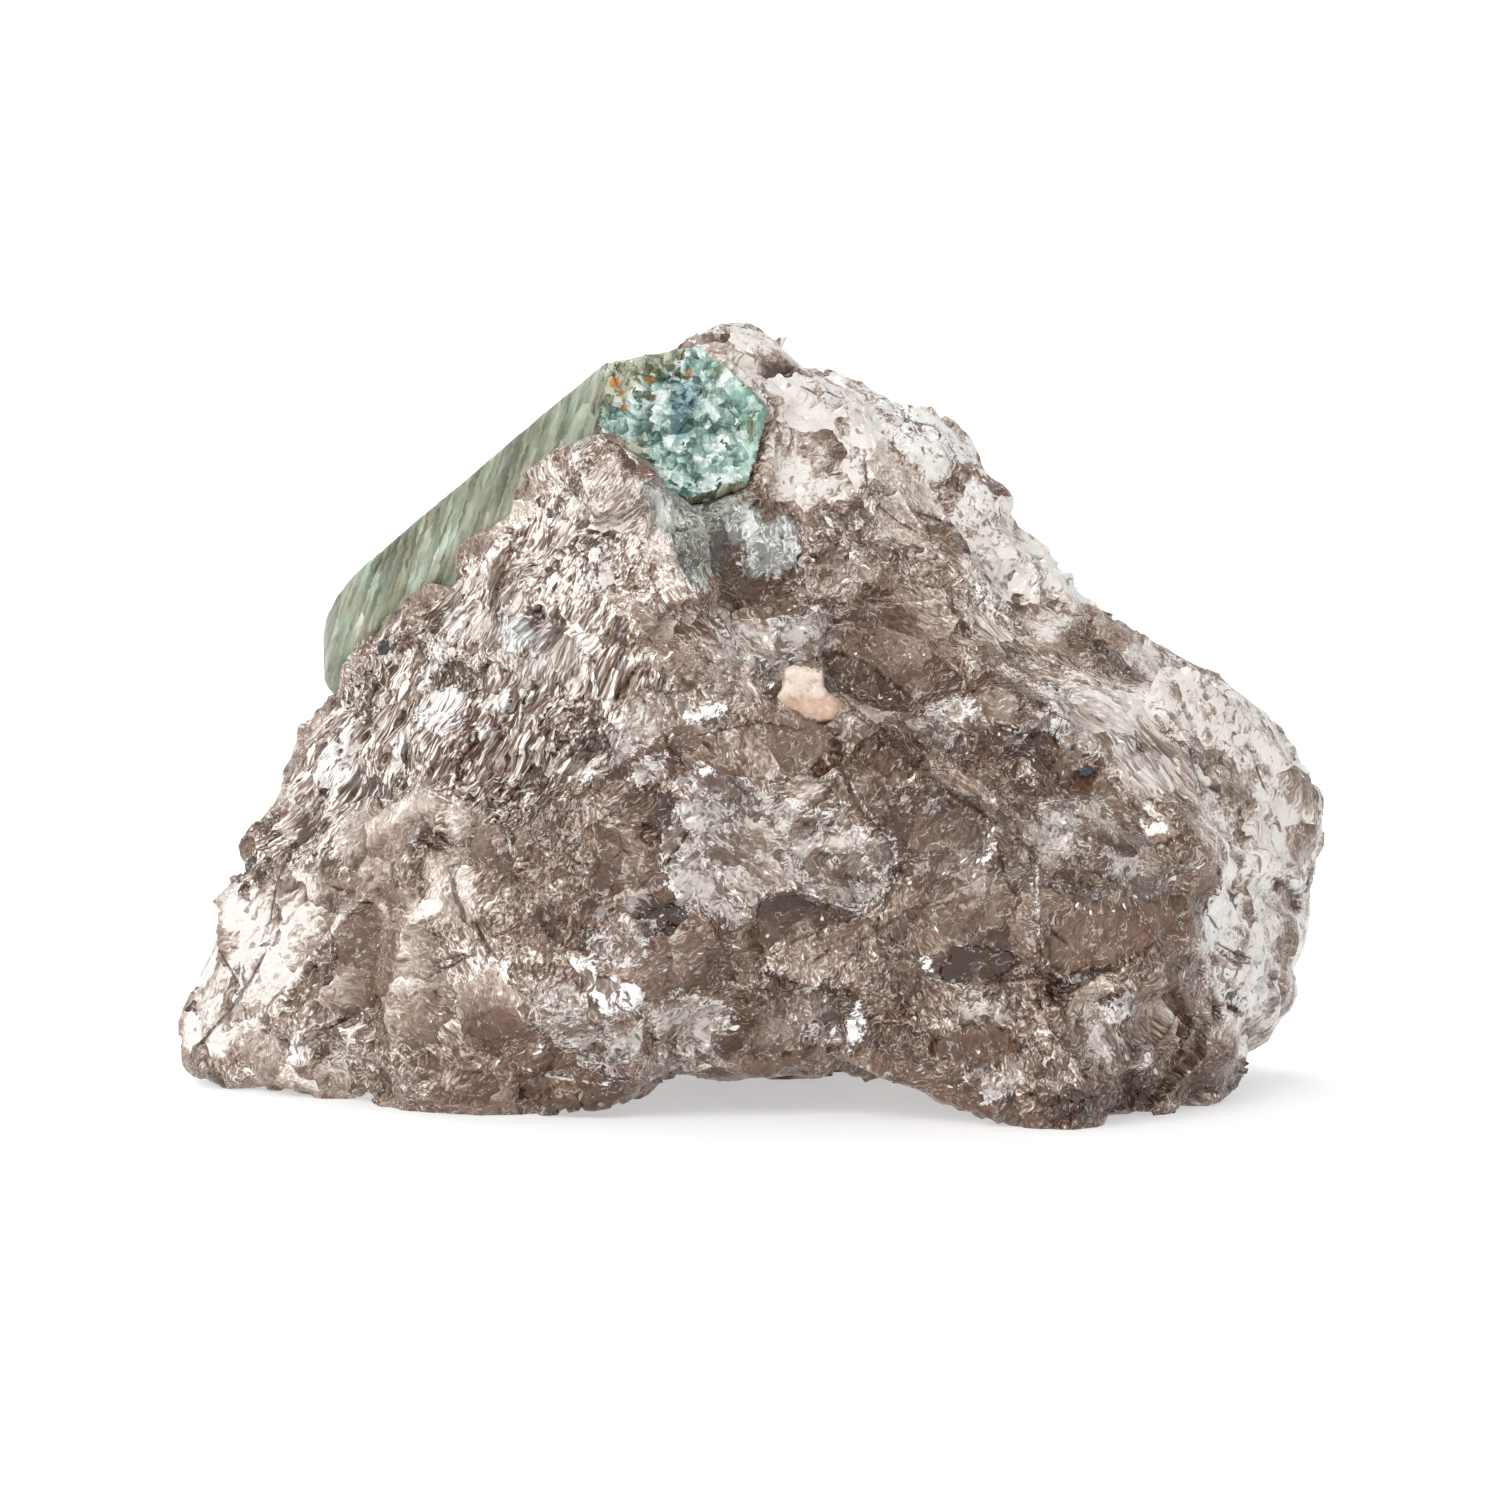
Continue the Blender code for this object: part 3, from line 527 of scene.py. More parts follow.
def beside_lines(flat, lines, reach=3.0):
    """The distance of each flat spot to the nearest line, and the same over the line's width with a sign
    for its side."""
    distance = np.full(len(flat), reach)
    side = np.full(len(flat), reach)
    for width, corners in lines:
        corners = seen_at(corners)
        for a, b in zip(corners, corners[1:]):
            edge = b - a
            low, high = np.minimum(a, b) - reach, np.maximum(a, b) + reach
            near = np.flatnonzero(np.all((flat > low) & (flat < high), axis=1))
            off = flat[near] - a
            share = np.clip((off @ edge) / (edge @ edge), 0.0, 1.0)
            away = np.linalg.norm(off - share[:, None] * edge, axis=1)
            across = (off[:, 0] * edge[1] - off[:, 1] * edge[0]) / np.linalg.norm(edge)
            closer = away < distance[near]
            chosen = near[closer]
            distance[chosen] = away[closer]
            side[chosen] = (np.where(across < 0, -1.0, 1.0) * away)[closer] / width
    return distance, side


def steps(values, low, high):
    """Smoothly from 0 to 1 as the values go from low to high."""
    share = np.clip((values - low) / (high - low), 0.0, 1.0)
    return share * share * (3 - 2 * share)


def noise_at(spots, size, depth=3, shift=0.0):
    """Fractal noise at each spot, about -1 to 1."""
    places = (spots / size + shift).tolist()
    return np.array([noise.fractal(place, 0.9, 2.1, depth) for place in places])


class Shape:
    """A mesh's points, edges and faces as arrays, in millimetres."""

    def __init__(self, mesh):
        self.spots = np.empty(len(mesh.vertices) * 3, np.float32)
        mesh.vertices.foreach_get("co", self.spots)
        self.spots = self.spots.reshape(-1, 3).astype(float) / MM
        self.edges = np.empty(len(mesh.edges) * 2, np.int32)
        mesh.edges.foreach_get("vertices", self.edges)
        self.edges = self.edges.reshape(-1, 2)
        mesh.calc_loop_triangles()
        self.faces = np.empty(len(mesh.loop_triangles) * 3, np.int32)
        mesh.loop_triangles.foreach_get("vertices", self.faces)
        self.faces = self.faces.reshape(-1, 3)

    def spread(self, values, rounds):
        """Evens values out with those of the neighbours."""
        ends = np.concatenate((self.edges, self.edges[:, ::-1]))
        order = np.argsort(ends[:, 0], kind="stable")
        first, second = ends[order, 0], ends[order, 1]
        starts = np.searchsorted(first, np.arange(len(self.spots)))
        share = 1.0 / np.maximum(np.bincount(first, minlength=len(self.spots)), 1)
        flat = values.ndim == 1
        values = values[:, None] if flat else values
        for _ in range(rounds):
            around = np.add.reduceat(values[second], starts, axis=0) * share[:, None]
            values = (values + around) / 2
        return values[:, 0] if flat else values

    def ways(self, rounds=0):
        """The outward direction at each point."""
        tri = self.spots[self.faces]
        across = np.cross(tri[:, 1] - tri[:, 0], tri[:, 2] - tri[:, 0])
        total = np.zeros_like(self.spots)
        for corner in range(3):
            for k in range(3):
                total[:, k] += np.bincount(self.faces[:, corner], across[:, k], len(self.spots))
        total /= np.maximum(np.linalg.norm(total, axis=1), 1e-12)[:, None]
        if rounds:
            total = self.spread(total, rounds)
            total /= np.maximum(np.linalg.norm(total, axis=1), 1e-12)[:, None]
        return total

    def hold_in_box(self):
        """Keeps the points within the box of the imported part."""
        low, high = (np.array(corner) / MM for corner in cad_box)
        self.spots = np.clip(self.spots, low, high)

    def write(self, mesh):
        mesh.vertices.foreach_set("co", (self.spots * MM).astype(np.float32).ravel())
        mesh.update()


def keep(mesh, name, values):
    """Stores one number per point for the material."""
    made = mesh.attributes.new(name, "FLOAT", "POINT")
    made.data.foreach_set("value", values.astype(np.float32))


def kept(mesh, name):
    """One number per point that was stored on the mesh."""
    values = np.empty(len(mesh.vertices), np.float32)
    mesh.attributes[name].data.foreach_get("value", values)
    return values.astype(float)


def merged_copy(node, name, filled=()):
    """A node's mesh in a new object, with its loose triangles joined. Swollen copies of the filled nodes
    close their pockets up to just under the surface."""
    bm = bmesh.new()
    bm.from_mesh(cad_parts[node].data)
    for other in filled:
        old = set(bm.verts)
        bm.from_mesh(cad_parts[other].data)
        new = [vert for vert in bm.verts if vert not in old]
        middle = sum((vert.co for vert in new), Vector()) / len(new)
        for vert in new:
            vert.co += (vert.co - middle).normalized() * FILLING_SWELL * MM + Vector(INTO_STONE) * MM
    bmesh.ops.remove_doubles(bm, verts=bm.verts, dist=1e-6)
    mesh = bpy.data.meshes.new(name)
    bm.to_mesh(mesh)
    bm.free()
    made = bpy.data.objects.new(name, mesh)
    bpy.context.scene.collection.objects.link(made)
    return made


def baked(made):
    """Puts the result of an object's modifiers in its mesh and removes them."""
    graph = bpy.context.evaluated_depsgraph_get()
    mesh = bpy.data.meshes.new_from_object(made.evaluated_get(graph))
    old = made.data
    made.modifiers.clear()
    made.data = mesh
    mesh.name = made.name
    bpy.data.meshes.remove(old)


def remesh(made, voxel):
    change = made.modifiers.new("even mesh", "REMESH")
    change.mode = "VOXEL"
    change.voxel_size = voxel * MM
    baked(made)


def thin_out(made, faces):
    """Merges the faces that matter least until only the given number of triangles is left."""
    made.data.calc_loop_triangles()
    count = len(made.data.loop_triangles)
    if count > faces:
        change = made.modifiers.new("fewer faces", "DECIMATE")
        change.ratio = faces / count
        baked(made)


def cover(made, finish):
    """Gives the whole piece one material."""
    made.data.materials.clear()
    made.data.materials.append(finish)


def crisp(mesh, degrees):
    """Smooth shading with sharp edges where the faces turn by more than the given angle."""
    mesh.polygons.foreach_set("use_smooth", [True] * len(mesh.polygons))
    mesh.set_sharp_from_angle(angle=math.radians(degrees))


class Net:
    """Adds linked nodes to a tree. A value is a number, a tuple or another node's output."""

    def __init__(self, tree):
        self.tree = tree

    def add(self, kind, inputs=(), **settings):
        made = self.tree.nodes.new(kind)
        for name, value in settings.items():
            setattr(made, name, value)
        for key, value in dict(inputs).items():
            self.put(made.inputs[key], value)
        return made

    def put(self, socket, value):
        if isinstance(value, bpy.types.NodeSocket):
            self.tree.links.new(value, socket)
        else:
            socket.default_value = value

    def math(self, operation, a, b=0.0, clamp=False):
        return self.add("ShaderNodeMath", {0: a, 1: b}, operation=operation, use_clamp=clamp).outputs[0]

    def plus(self, *values):
        total = values[0]
        for value in values[1:]:
            total = self.math("ADD", total, value)
        return total

    def times(self, *values):
        total = values[0]
        for value in values[1:]:
            total = self.math("MULTIPLY", total, value)
        return total

    def centred(self, value):
        return self.math("SUBTRACT", value, 0.5)

    def opposite(self, value):
        return self.math("SUBTRACT", 1.0, value)

    def vector(self, operation, a, b=(0.0, 0.0, 0.0), scale=None):
        made = self.add("ShaderNodeVectorMath", {0: a}, operation=operation)
        if scale is None:
            self.put(made.inputs[1], b)
        else:
            self.put(made.inputs["Scale"], scale)
        return made.outputs["Value" if operation in ("DOT_PRODUCT", "LENGTH", "DISTANCE") else "Vector"]

    def between(self, value, low, high, to_low=0.0, to_high=1.0):
        """Smoothly from one number to another as the value goes from low to high."""
        inputs = {0: value, 1: low, 2: high, 3: to_low, 4: to_high}
        return self.add("ShaderNodeMapRange", inputs, interpolation_type="SMOOTHSTEP").outputs[0]

    def mix(self, share, a, b):
        """Mixes two colours."""
        made = self.add("ShaderNodeMix", {0: share}, data_type="RGBA")
        for socket, value in ((made.inputs[6], a), (made.inputs[7], b)):
            self.put(socket, value if isinstance(value, bpy.types.NodeSocket) else (*value, 1.0))
        return made.outputs[2]

    def blend(self, share, a, b):
        """Mixes two numbers."""
        return self.add("ShaderNodeMix", {0: share, 2: a, 3: b}, data_type="FLOAT").outputs[0]

    def noise(self, where, size, detail=3.0, roughness=0.55, out=0):
        inputs = {"Vector": where, "Scale": 1.0 / size, "Detail": detail, "Roughness": roughness}
        return self.add("ShaderNodeTexNoise", inputs).outputs[out]

    def cells(self, where, size):
        """A pattern of cells: how far and which way the middle of each is, three numbers of its own about 0,
        and the middle itself."""
        made = self.add("ShaderNodeTexVoronoi", {"Vector": where, "Scale": 1.0 / size})
        away = self.vector("SCALE", self.vector("SUBTRACT", where, made.outputs["Position"]),
                           scale=1.0 / size)
        own = self.vector("SUBTRACT", made.outputs["Color"], (0.5, 0.5, 0.5))
        return made.outputs["Distance"], away, own, made.outputs["Position"]

    def slope(self, away, own):
        """From light to dark across each cell, each in a direction of its own."""
        return self.vector("DOT_PRODUCT", away, self.vector("SCALE", own, scale=2.0))

    def place(self):
        """The place on the piece, in millimetres."""
        return self.vector("SCALE", self.add("ShaderNodeTexCoord").outputs["Object"], scale=1.0 / MM)

    def turned(self, turn, more):
        """The direction of the surface, turned by two vectors."""
        facing = self.add("ShaderNodeNewGeometry").outputs["Normal"]
        return self.vector("NORMALIZE", self.vector("ADD", facing, self.vector("ADD", turn, more)))

    def parts(self, value):
        return self.add("ShaderNodeSeparateXYZ", {0: value}).outputs

    def attribute(self, name, out="Fac"):
        return self.add("ShaderNodeAttribute", attribute_name=name).outputs[out]

    def ramp(self, value, *stops):
        made = self.add("ShaderNodeValToRGB", {"Fac": value})
        places = made.color_ramp.elements
        places.remove(places[1])
        places[0].position, places[0].color = stops[0][0], (*stops[0][1], 1.0)
        for spot, colour in stops[1:]:
            places.new(spot).color = (*colour, 1.0)
        return made.outputs[0]

    def warped(self, where, size, reach, detail=2.0):
        """The place moved about by noise, so that what is drawn there gets ragged."""
        moved = self.vector("SUBTRACT", self.noise(where, size, detail, out="Color"), (0.5, 0.5, 0.5))
        return self.vector("ADD", where, self.vector("SCALE", moved, scale=2.0 * reach))

    def drawn_out(self, where, way, times):
        """The place squeezed along one direction, so that what is drawn there gets that much longer."""
        way = tuple(Vector(way).normalized())
        along = self.vector("DOT_PRODUCT", where, way)
        back = self.vector("SCALE", way, scale=along)
        return self.vector("ADD", where, self.vector("SCALE", back, scale=1.0 / times - 1.0))


def cleaving():
    """A tree that breaks a surface into slightly hollow flat faces, one for each cell of a pattern."""
    tree = bpy.data.node_groups.new("cleaving", "GeometryNodeTree")
    face = tree.interface
    face.new_socket("Stone", in_out="INPUT", socket_type="NodeSocketGeometry")
    for name, value in (("Cell size", 0.003), ("Tilt", 0.2), ("Most step", 0.0004), ("Lift", 0.0),
                        ("Hollow", 0.0), ("Ragged", 0.001), ("Stretch", 1.0), ("Seed", 1.0)):
        face.new_socket(name, in_out="INPUT", socket_type="NodeSocketFloat").default_value = value
    face.new_socket("Along", in_out="INPUT", socket_type="NodeSocketVector")
    face.new_socket("Mask", in_out="INPUT", socket_type="NodeSocketString")
    face.new_socket("Finish", in_out="INPUT", socket_type="NodeSocketMaterial")
    face.new_socket("Stone", in_out="OUTPUT", socket_type="NodeSocketGeometry")
    net = Net(tree)
    given = net.add("NodeGroupInput").outputs
    place = net.add("GeometryNodeInputPosition").outputs[0]
    normal = net.add("GeometryNodeInputNormal").outputs[0]

    def vector_socket(sockets):
        return [s for s in sockets if s.type == "VECTOR"][0]

    even = net.add("GeometryNodeBlurAttribute", {"Iterations": 7}, data_type="FLOAT_VECTOR")
    tree.links.new(normal, vector_socket(even.inputs))
    facing = net.vector("NORMALIZE", vector_socket(even.outputs))
    stored = net.add("GeometryNodeStoreNamedAttribute", {"Name": "way"}, data_type="FLOAT_VECTOR",
                     domain="POINT")
    tree.links.new(given["Stone"], stored.inputs["Geometry"])
    tree.links.new(facing, vector_socket(stored.inputs))
    way = net.add("GeometryNodeInputNamedAttribute", {"Name": "way"}, data_type="FLOAT_VECTOR").outputs[0]

    shift = net.vector("SCALE", (0.37, 0.59, 0.83), scale=given["Seed"])
    moved = net.add("ShaderNodeTexNoise", {"Vector": net.vector("ADD", place, shift), "Detail": 1.0})
    tree.links.new(net.math("DIVIDE", 0.9, given["Cell size"]), moved.inputs["Scale"])
    moved = net.vector("SUBTRACT", moved.outputs["Color"], (0.5, 0.5, 0.5))
    look = net.vector("ADD", place, net.vector("SCALE", moved, scale=given["Ragged"]))
    squeeze = net.math("SUBTRACT", net.math("DIVIDE", 1.0, given["Stretch"]), 1.0)
    along = net.vector("DOT_PRODUCT", look, given["Along"])
    look = net.vector("ADD", look, net.vector("SCALE", given["Along"],
                                              scale=net.math("MULTIPLY", along, squeeze)))
    look = net.vector("ADD", look, shift)
    cell = net.add("ShaderNodeTexVoronoi", {"Vector": look})
    tree.links.new(net.math("DIVIDE", 1.0, given["Cell size"]), cell.inputs["Scale"])
    middle = net.vector("SUBTRACT", cell.outputs["Position"], shift)
    along = net.vector("DOT_PRODUCT", middle, given["Along"])
    widen = net.math("SUBTRACT", given["Stretch"], 1.0)
    middle = net.vector("ADD", middle, net.vector("SCALE", given["Along"],
                                                  scale=net.math("MULTIPLY", along, widen)))
    chance = net.vector("SUBTRACT", cell.outputs["Color"], (0.5, 0.5, 0.5))

    def nearest(value):
        """The value on the stone next to the middle of the cell."""
        made = net.add("GeometryNodeSampleNearestSurface", {"Sample Position": middle},
                       data_type="FLOAT_VECTOR")
        tree.links.new(stored.outputs["Geometry"], made.inputs["Mesh"])
        tree.links.new(value, [s for s in made.inputs if s.name == "Value" and s.type == "VECTOR"][0])
        return vector_socket(made.outputs)

    tilt = net.vector("SCALE", chance, scale=net.math("MULTIPLY", given["Tilt"], 2.0))
    plane = net.vector("NORMALIZE", net.vector("ADD", nearest(way), tilt))
    away = net.vector("DOT_PRODUCT", net.vector("SUBTRACT", nearest(place), place), plane)
    lean = net.math("MAXIMUM", net.vector("DOT_PRODUCT", way, plane), 0.5)
    step = net.math("DIVIDE", away, lean)
    least = net.math("MULTIPLY", given["Most step"], -1.0)
    step = net.math("MINIMUM", net.math("MAXIMUM", step, least), given["Most step"])
    lift = net.vector("DOT_PRODUCT", chance, (1.0, 1.0, 0.0))
    bowl = net.math("SUBTRACT", net.math("POWER", cell.outputs["Distance"], 2.0), 0.25)
    step = net.plus(step, net.times(lift, given["Lift"]), net.times(bowl, given["Hollow"]))
    mask = net.add("GeometryNodeInputNamedAttribute", {"Name": given["Mask"]}, data_type="FLOAT")
    step = net.math("MULTIPLY", step, mask.outputs[0])
    shaped = net.add("GeometryNodeSetPosition", {"Geometry": stored.outputs["Geometry"]})
    tree.links.new(net.vector("SCALE", way, scale=step), shaped.inputs["Offset"])
    real = net.add("GeometryNodeRealizeInstances", {0: shaped.outputs[0]})
    finish = net.add("GeometryNodeSetMaterial", {"Geometry": real.outputs[0], "Material": given["Finish"]})
    net.add("NodeGroupOutput", {0: finish.outputs[0]})
    return tree


def cleave(made, tree, finish, mask, **values):
    """One round of breaking. Values are the tree's inputs by name, with lengths in millimetres."""
    change = made.modifiers.new("cleaving", "NODES")
    change.node_group = tree
    for item in tree.interface.items_tree:
        if item.in_out != "INPUT":
            continue
        key = item.name.lower().replace(" ", "_")
        if item.name == "Mask":
            change[item.identifier] = mask
        elif item.name == "Finish":
            change[item.identifier] = finish
        elif key in values:
            length = item.name in ("Cell size", "Most step", "Lift", "Hollow", "Ragged")
            change[item.identifier] = values[key] * MM if length else values[key]


def cut_facets(shape):
    """Moves the surface inside each outline onto one plane, as a clean break does."""
    ways = shape.ways(8)
    front = ways[:, 1] < -0.1
    for outline, facing, most in FACETS:
        chosen = (inside_any(on_front(shape.spots), (outline,)) > 0) & front
        if not chosen.any():
            continue
        plane = np.array(facing) / np.linalg.norm(facing)
        middle = shape.spots[chosen].mean(axis=0)
        away = (middle - shape.spots) @ plane
        lean = np.maximum(ways @ plane, 0.4)
        shape.spots += ways * (np.clip(away / lean, -most, most) * chosen)[:, None]


def lay_patches(shape):
    """Lets the lighter patches stand proud with ragged edges, and sinks the dark ones and the cracks."""
    ways = shape.ways(3)
    flat = on_front(shape.spots)
    front = steps(-ways[:, 1], -0.05, 0.15)
    ragged = noise_at(shape.spots, 1.4, 3, 11.0) * 0.45
    height = np.zeros(len(flat))
    for outlines, rise in ((VEILS, VEIL_RISE), (BRIGHT, BRIGHT_RISE), (PALE, PALE_RISE), (DARK, DARK_RISE),
                           (SMOOTH, SMOOTH_RISE)):
        height += rise * steps(inside_any(flat, outlines, 1.5) + ragged, -0.1, 0.12)
    _, side = beside_lines(flat, CRACKS)
    height -= CRACK_DEPTH * (1 - steps(np.abs(side) + ragged * 0.5, 0.6, 2.0))
    _, side = beside_lines(flat, EDGES)
    height += EDGE_RISE * (1 - steps(np.abs(side) + ragged * 0.5, 0.5, 2.0))
    shape.spots += ways * (height * front)[:, None]


def quartz(finish, tree):
    """The lump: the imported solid's form with broken faces, slivers, veils and cracks."""
    grains = ("feldspar_grain", "tourmaline_grain_right", "tourmaline_grain_left")
    made = merged_copy("quartz_matrix", "quartz_surface", grains)
    remesh(made, QUARTZ_VOXEL)
    shape = Shape(made.data)
    for height, reach, move in RIGHT_EDGE:
        near = np.exp(-(((on_front(shape.spots)[:, 1] - height) / reach) ** 2))
        shape.spots[:, 0] += move * near * steps(shape.spots[:, 0], RIGHT_FROM, RIGHT_FULL)
    resting = shape.spots[:, 2] < RESTING_UNDER
    beryl = BVHTree.FromPolygons(
        [v.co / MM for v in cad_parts["aquamarine_crystal"].data.vertices],
        [p.vertices[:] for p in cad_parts["aquamarine_crystal"].data.polygons],
    )
    near = np.array([(beryl.find_nearest(spot, 3.0)[3] or 3.0) for spot in shape.spots.tolist()])
    shape.spots = shape.spread(shape.spots, SMOOTHING)
    cut_facets(shape)
    flat = on_front(shape.spots)
    front = shape.ways(4)[:, 1] < 0
    calm = inside_any(flat, PALE + SMOOTH + tuple(outline for outline, _, _ in FACETS), 2.0)
    rough = 0.8 + 0.5 * noise_at(shape.spots, 9.0, 2, 3.0) - 0.75 * steps(calm, -0.3, 0.8) * front
    rough -= 0.4 * steps(inside_any(flat, CLEAR), -1.5, 1.5)
    away = steps(near, GROOVE_NEAR, GROOVE_FAR)
    slivers = steps(inside_any(flat, FLANK), -1.0, 3.0) * front * (1 - 0.6 * steps(calm, -0.3, 0.8))
    keep(made.data, "rough", np.clip(rough - 0.45 * slivers, 0.12, 1.0) * away)
    keep(made.data, "slivers", slivers * away)
    keep(made.data, "behind", steps(shape.ways(12)[:, 1], -0.1, 0.3) * away)
    shape.write(made.data)
    down = tuple(Vector(LEFT_WAY).normalized())
    cleave(made, tree, finish, "behind", cell_size=11.0, tilt=0.3, most_step=0.9, lift=0.2, hollow=0.9,
           ragged=4.0, seed=7.0)
    cleave(made, tree, finish, "rough", cell_size=5.5, tilt=0.17, most_step=0.42, lift=0.1, hollow=0.4,
           ragged=3.0, seed=1.0)
    cleave(made, tree, finish, "rough", cell_size=2.4, tilt=0.22, most_step=0.25, lift=0.12, hollow=0.2,
           ragged=1.4, seed=3.0)
    cleave(made, tree, finish, "slivers", cell_size=1.4, tilt=0.3, most_step=0.25, lift=0.1, ragged=0.5,
           stretch=5.0, seed=2.0, along=down)
    cleave(made, tree, finish, "rough", cell_size=1.1, tilt=0.22, most_step=0.1, lift=0.07, hollow=0.08,
           ragged=0.6, seed=5.0)
    baked(made)
    shape = Shape(made.data)
    lay_patches(shape)
    shape.spots[resting, 2] = np.minimum(shape.spots[resting, 2], 0.0)
    shape.hold_in_box()
    shape.write(made.data)
    thin_out(made, QUARTZ_FACES)
    shape = Shape(made.data)
    shape.hold_in_box()
    shape.write(made.data)
    mark_quartz(made.data)
    crisp(made.data, QUARTZ_CRISP)
    return made


def mark_quartz(mesh):
    """Stores what the quartz material needs at each point."""
    for name in ("way", "rough", "slivers", "behind"):
        mesh.attributes.remove(mesh.attributes[name])
    shape = Shape(mesh)
    ways = shape.ways(3)
    flat = on_front(shape.spots)
    front = ways[:, 1] < 0.1
    for name, outlines in (("veil", VEILS), ("bright", BRIGHT), ("pale", PALE), ("smooth", SMOOTH),
                           ("dark", DARK), ("warm", WARM_AND_UNDERSIDE_SHADE), ("tinted", TINTED), ("crust", CRUST),
                           ("flank", FLANK), ("fibres", FIBRES)):
        keep(mesh, name, np.where(front, inside_any(flat, outlines), -4.0))
    keep(mesh, "clear", inside_any(flat, CLEAR))
    for name, lines in (("crack", CRACKS), ("edge", EDGES)):
        near, side = beside_lines(flat, lines)
        keep(mesh, name + "_near", np.where(front, near, 3.0))
        keep(mesh, name + "_side", side)
    keep(mesh, "front", shape.spread(front.astype(float), 3))
    made = mesh.attributes.new("outward", "FLOAT_VECTOR", "POINT")
    made.data.foreach_set("vector", shape.ways(40).astype(np.float32).ravel())
    tree = BVHTree.FromPolygons(shape.spots.tolist(), shape.faces.tolist())
    inward = -shape.ways(10)
    thick = np.empty(len(flat))
    for i, (start, way) in enumerate(zip((shape.spots + inward * 0.6).tolist(), inward.tolist())):
        thick[i] = tree.ray_cast(start, way, 60.0)[3] or 60.0
    # Painted light: thin stone and the listed lit zones are stored to be painted lighter, as painted
    # backlight
    thin = 1 - steps(shape.spread(thick, 14), THIN_STONE, THICK_STONE)
    lit = steps(inside_any(flat, PAINTED_LIT_ZONES, 8.0), -5.0, 4.0) * front
    keep(mesh, "glow", shape.spread(np.maximum(lit, thin), 10))


def principled(name):
    """A new material: the material itself, its net, its shader and its output."""
    made = bpy.data.materials.new(name)
    made.use_nodes = True
    tree = made.node_tree
    return made, Net(tree), tree.nodes["Principled BSDF"], tree.nodes["Material Output"]


def set_inputs(net, shader, **values):
    """Puts values or links in the shader's inputs by name."""
    for key, value in values.items():
        net.put(shader.inputs[key.replace("_", " ").title().replace("Ior", "IOR")], value)


def absorb(net, output, colour, density):
    """Lets the inside of the stone take up light."""
    inner = net.add("ShaderNodeVolumeAbsorption", {"Color": (*colour, 1.0), "Density": density})
    net.tree.links.new(inner.outputs[0], output.inputs["Volume"])


class Stone:
    """The patches of a stone's material by name, and what the steps of the material share."""

    def __init__(self, net, names, ragged):
        self.net = net
        self.field = {name: net.attribute(name) for name in names}
        self.ragged = ragged

    def patch(self, name, reach=2.2, low=-0.25, high=0.2, *more):
        """Where a patch shows, with a ragged border."""
        net = self.net
        return net.between(net.plus(self.field[name], net.times(self.ragged, reach), *more), low, high)


def quartz_zones(net, stone, place):
    """Where the quartz is streaky, clear or calm. The sides that the photograph doesn't show have light,
    clear and fibrous parts of their own."""
    broad = net.noise(place, 11.0, 1.0, 0.55)
    hidden = net.opposite(stone.field["front"])
    flank = stone.patch("flank", 6.0, -0.6, 0.8)
    fibres = net.times(stone.patch("fibres", 5.0, -0.4, 1.0), net.opposite(flank))
    fibres = net.math("MAXIMUM", fibres, net.times(hidden, net.between(broad, 0.49, 0.42)))
    clear = net.times(hidden, net.between(broad, 0.55, 0.62, 0.0, 0.6))
    clear = net.math("MAXIMUM", stone.patch("clear", 3.0, -0.8, 0.8), clear)
    streaky = net.math("MAXIMUM", flank, fibres)
    calm = net.math("MAXIMUM", stone.patch("smooth", 2.6, -0.8, 1.2), stone.patch("pale", 2.6, -0.8, 1.2))
    stone.calm = net.times(calm, net.opposite(net.times(streaky, 0.7)))
    stone.broad, stone.hidden, stone.flank, stone.fibres = broad, hidden, flank, fibres
    stone.clear, stone.streaky = clear, streaky


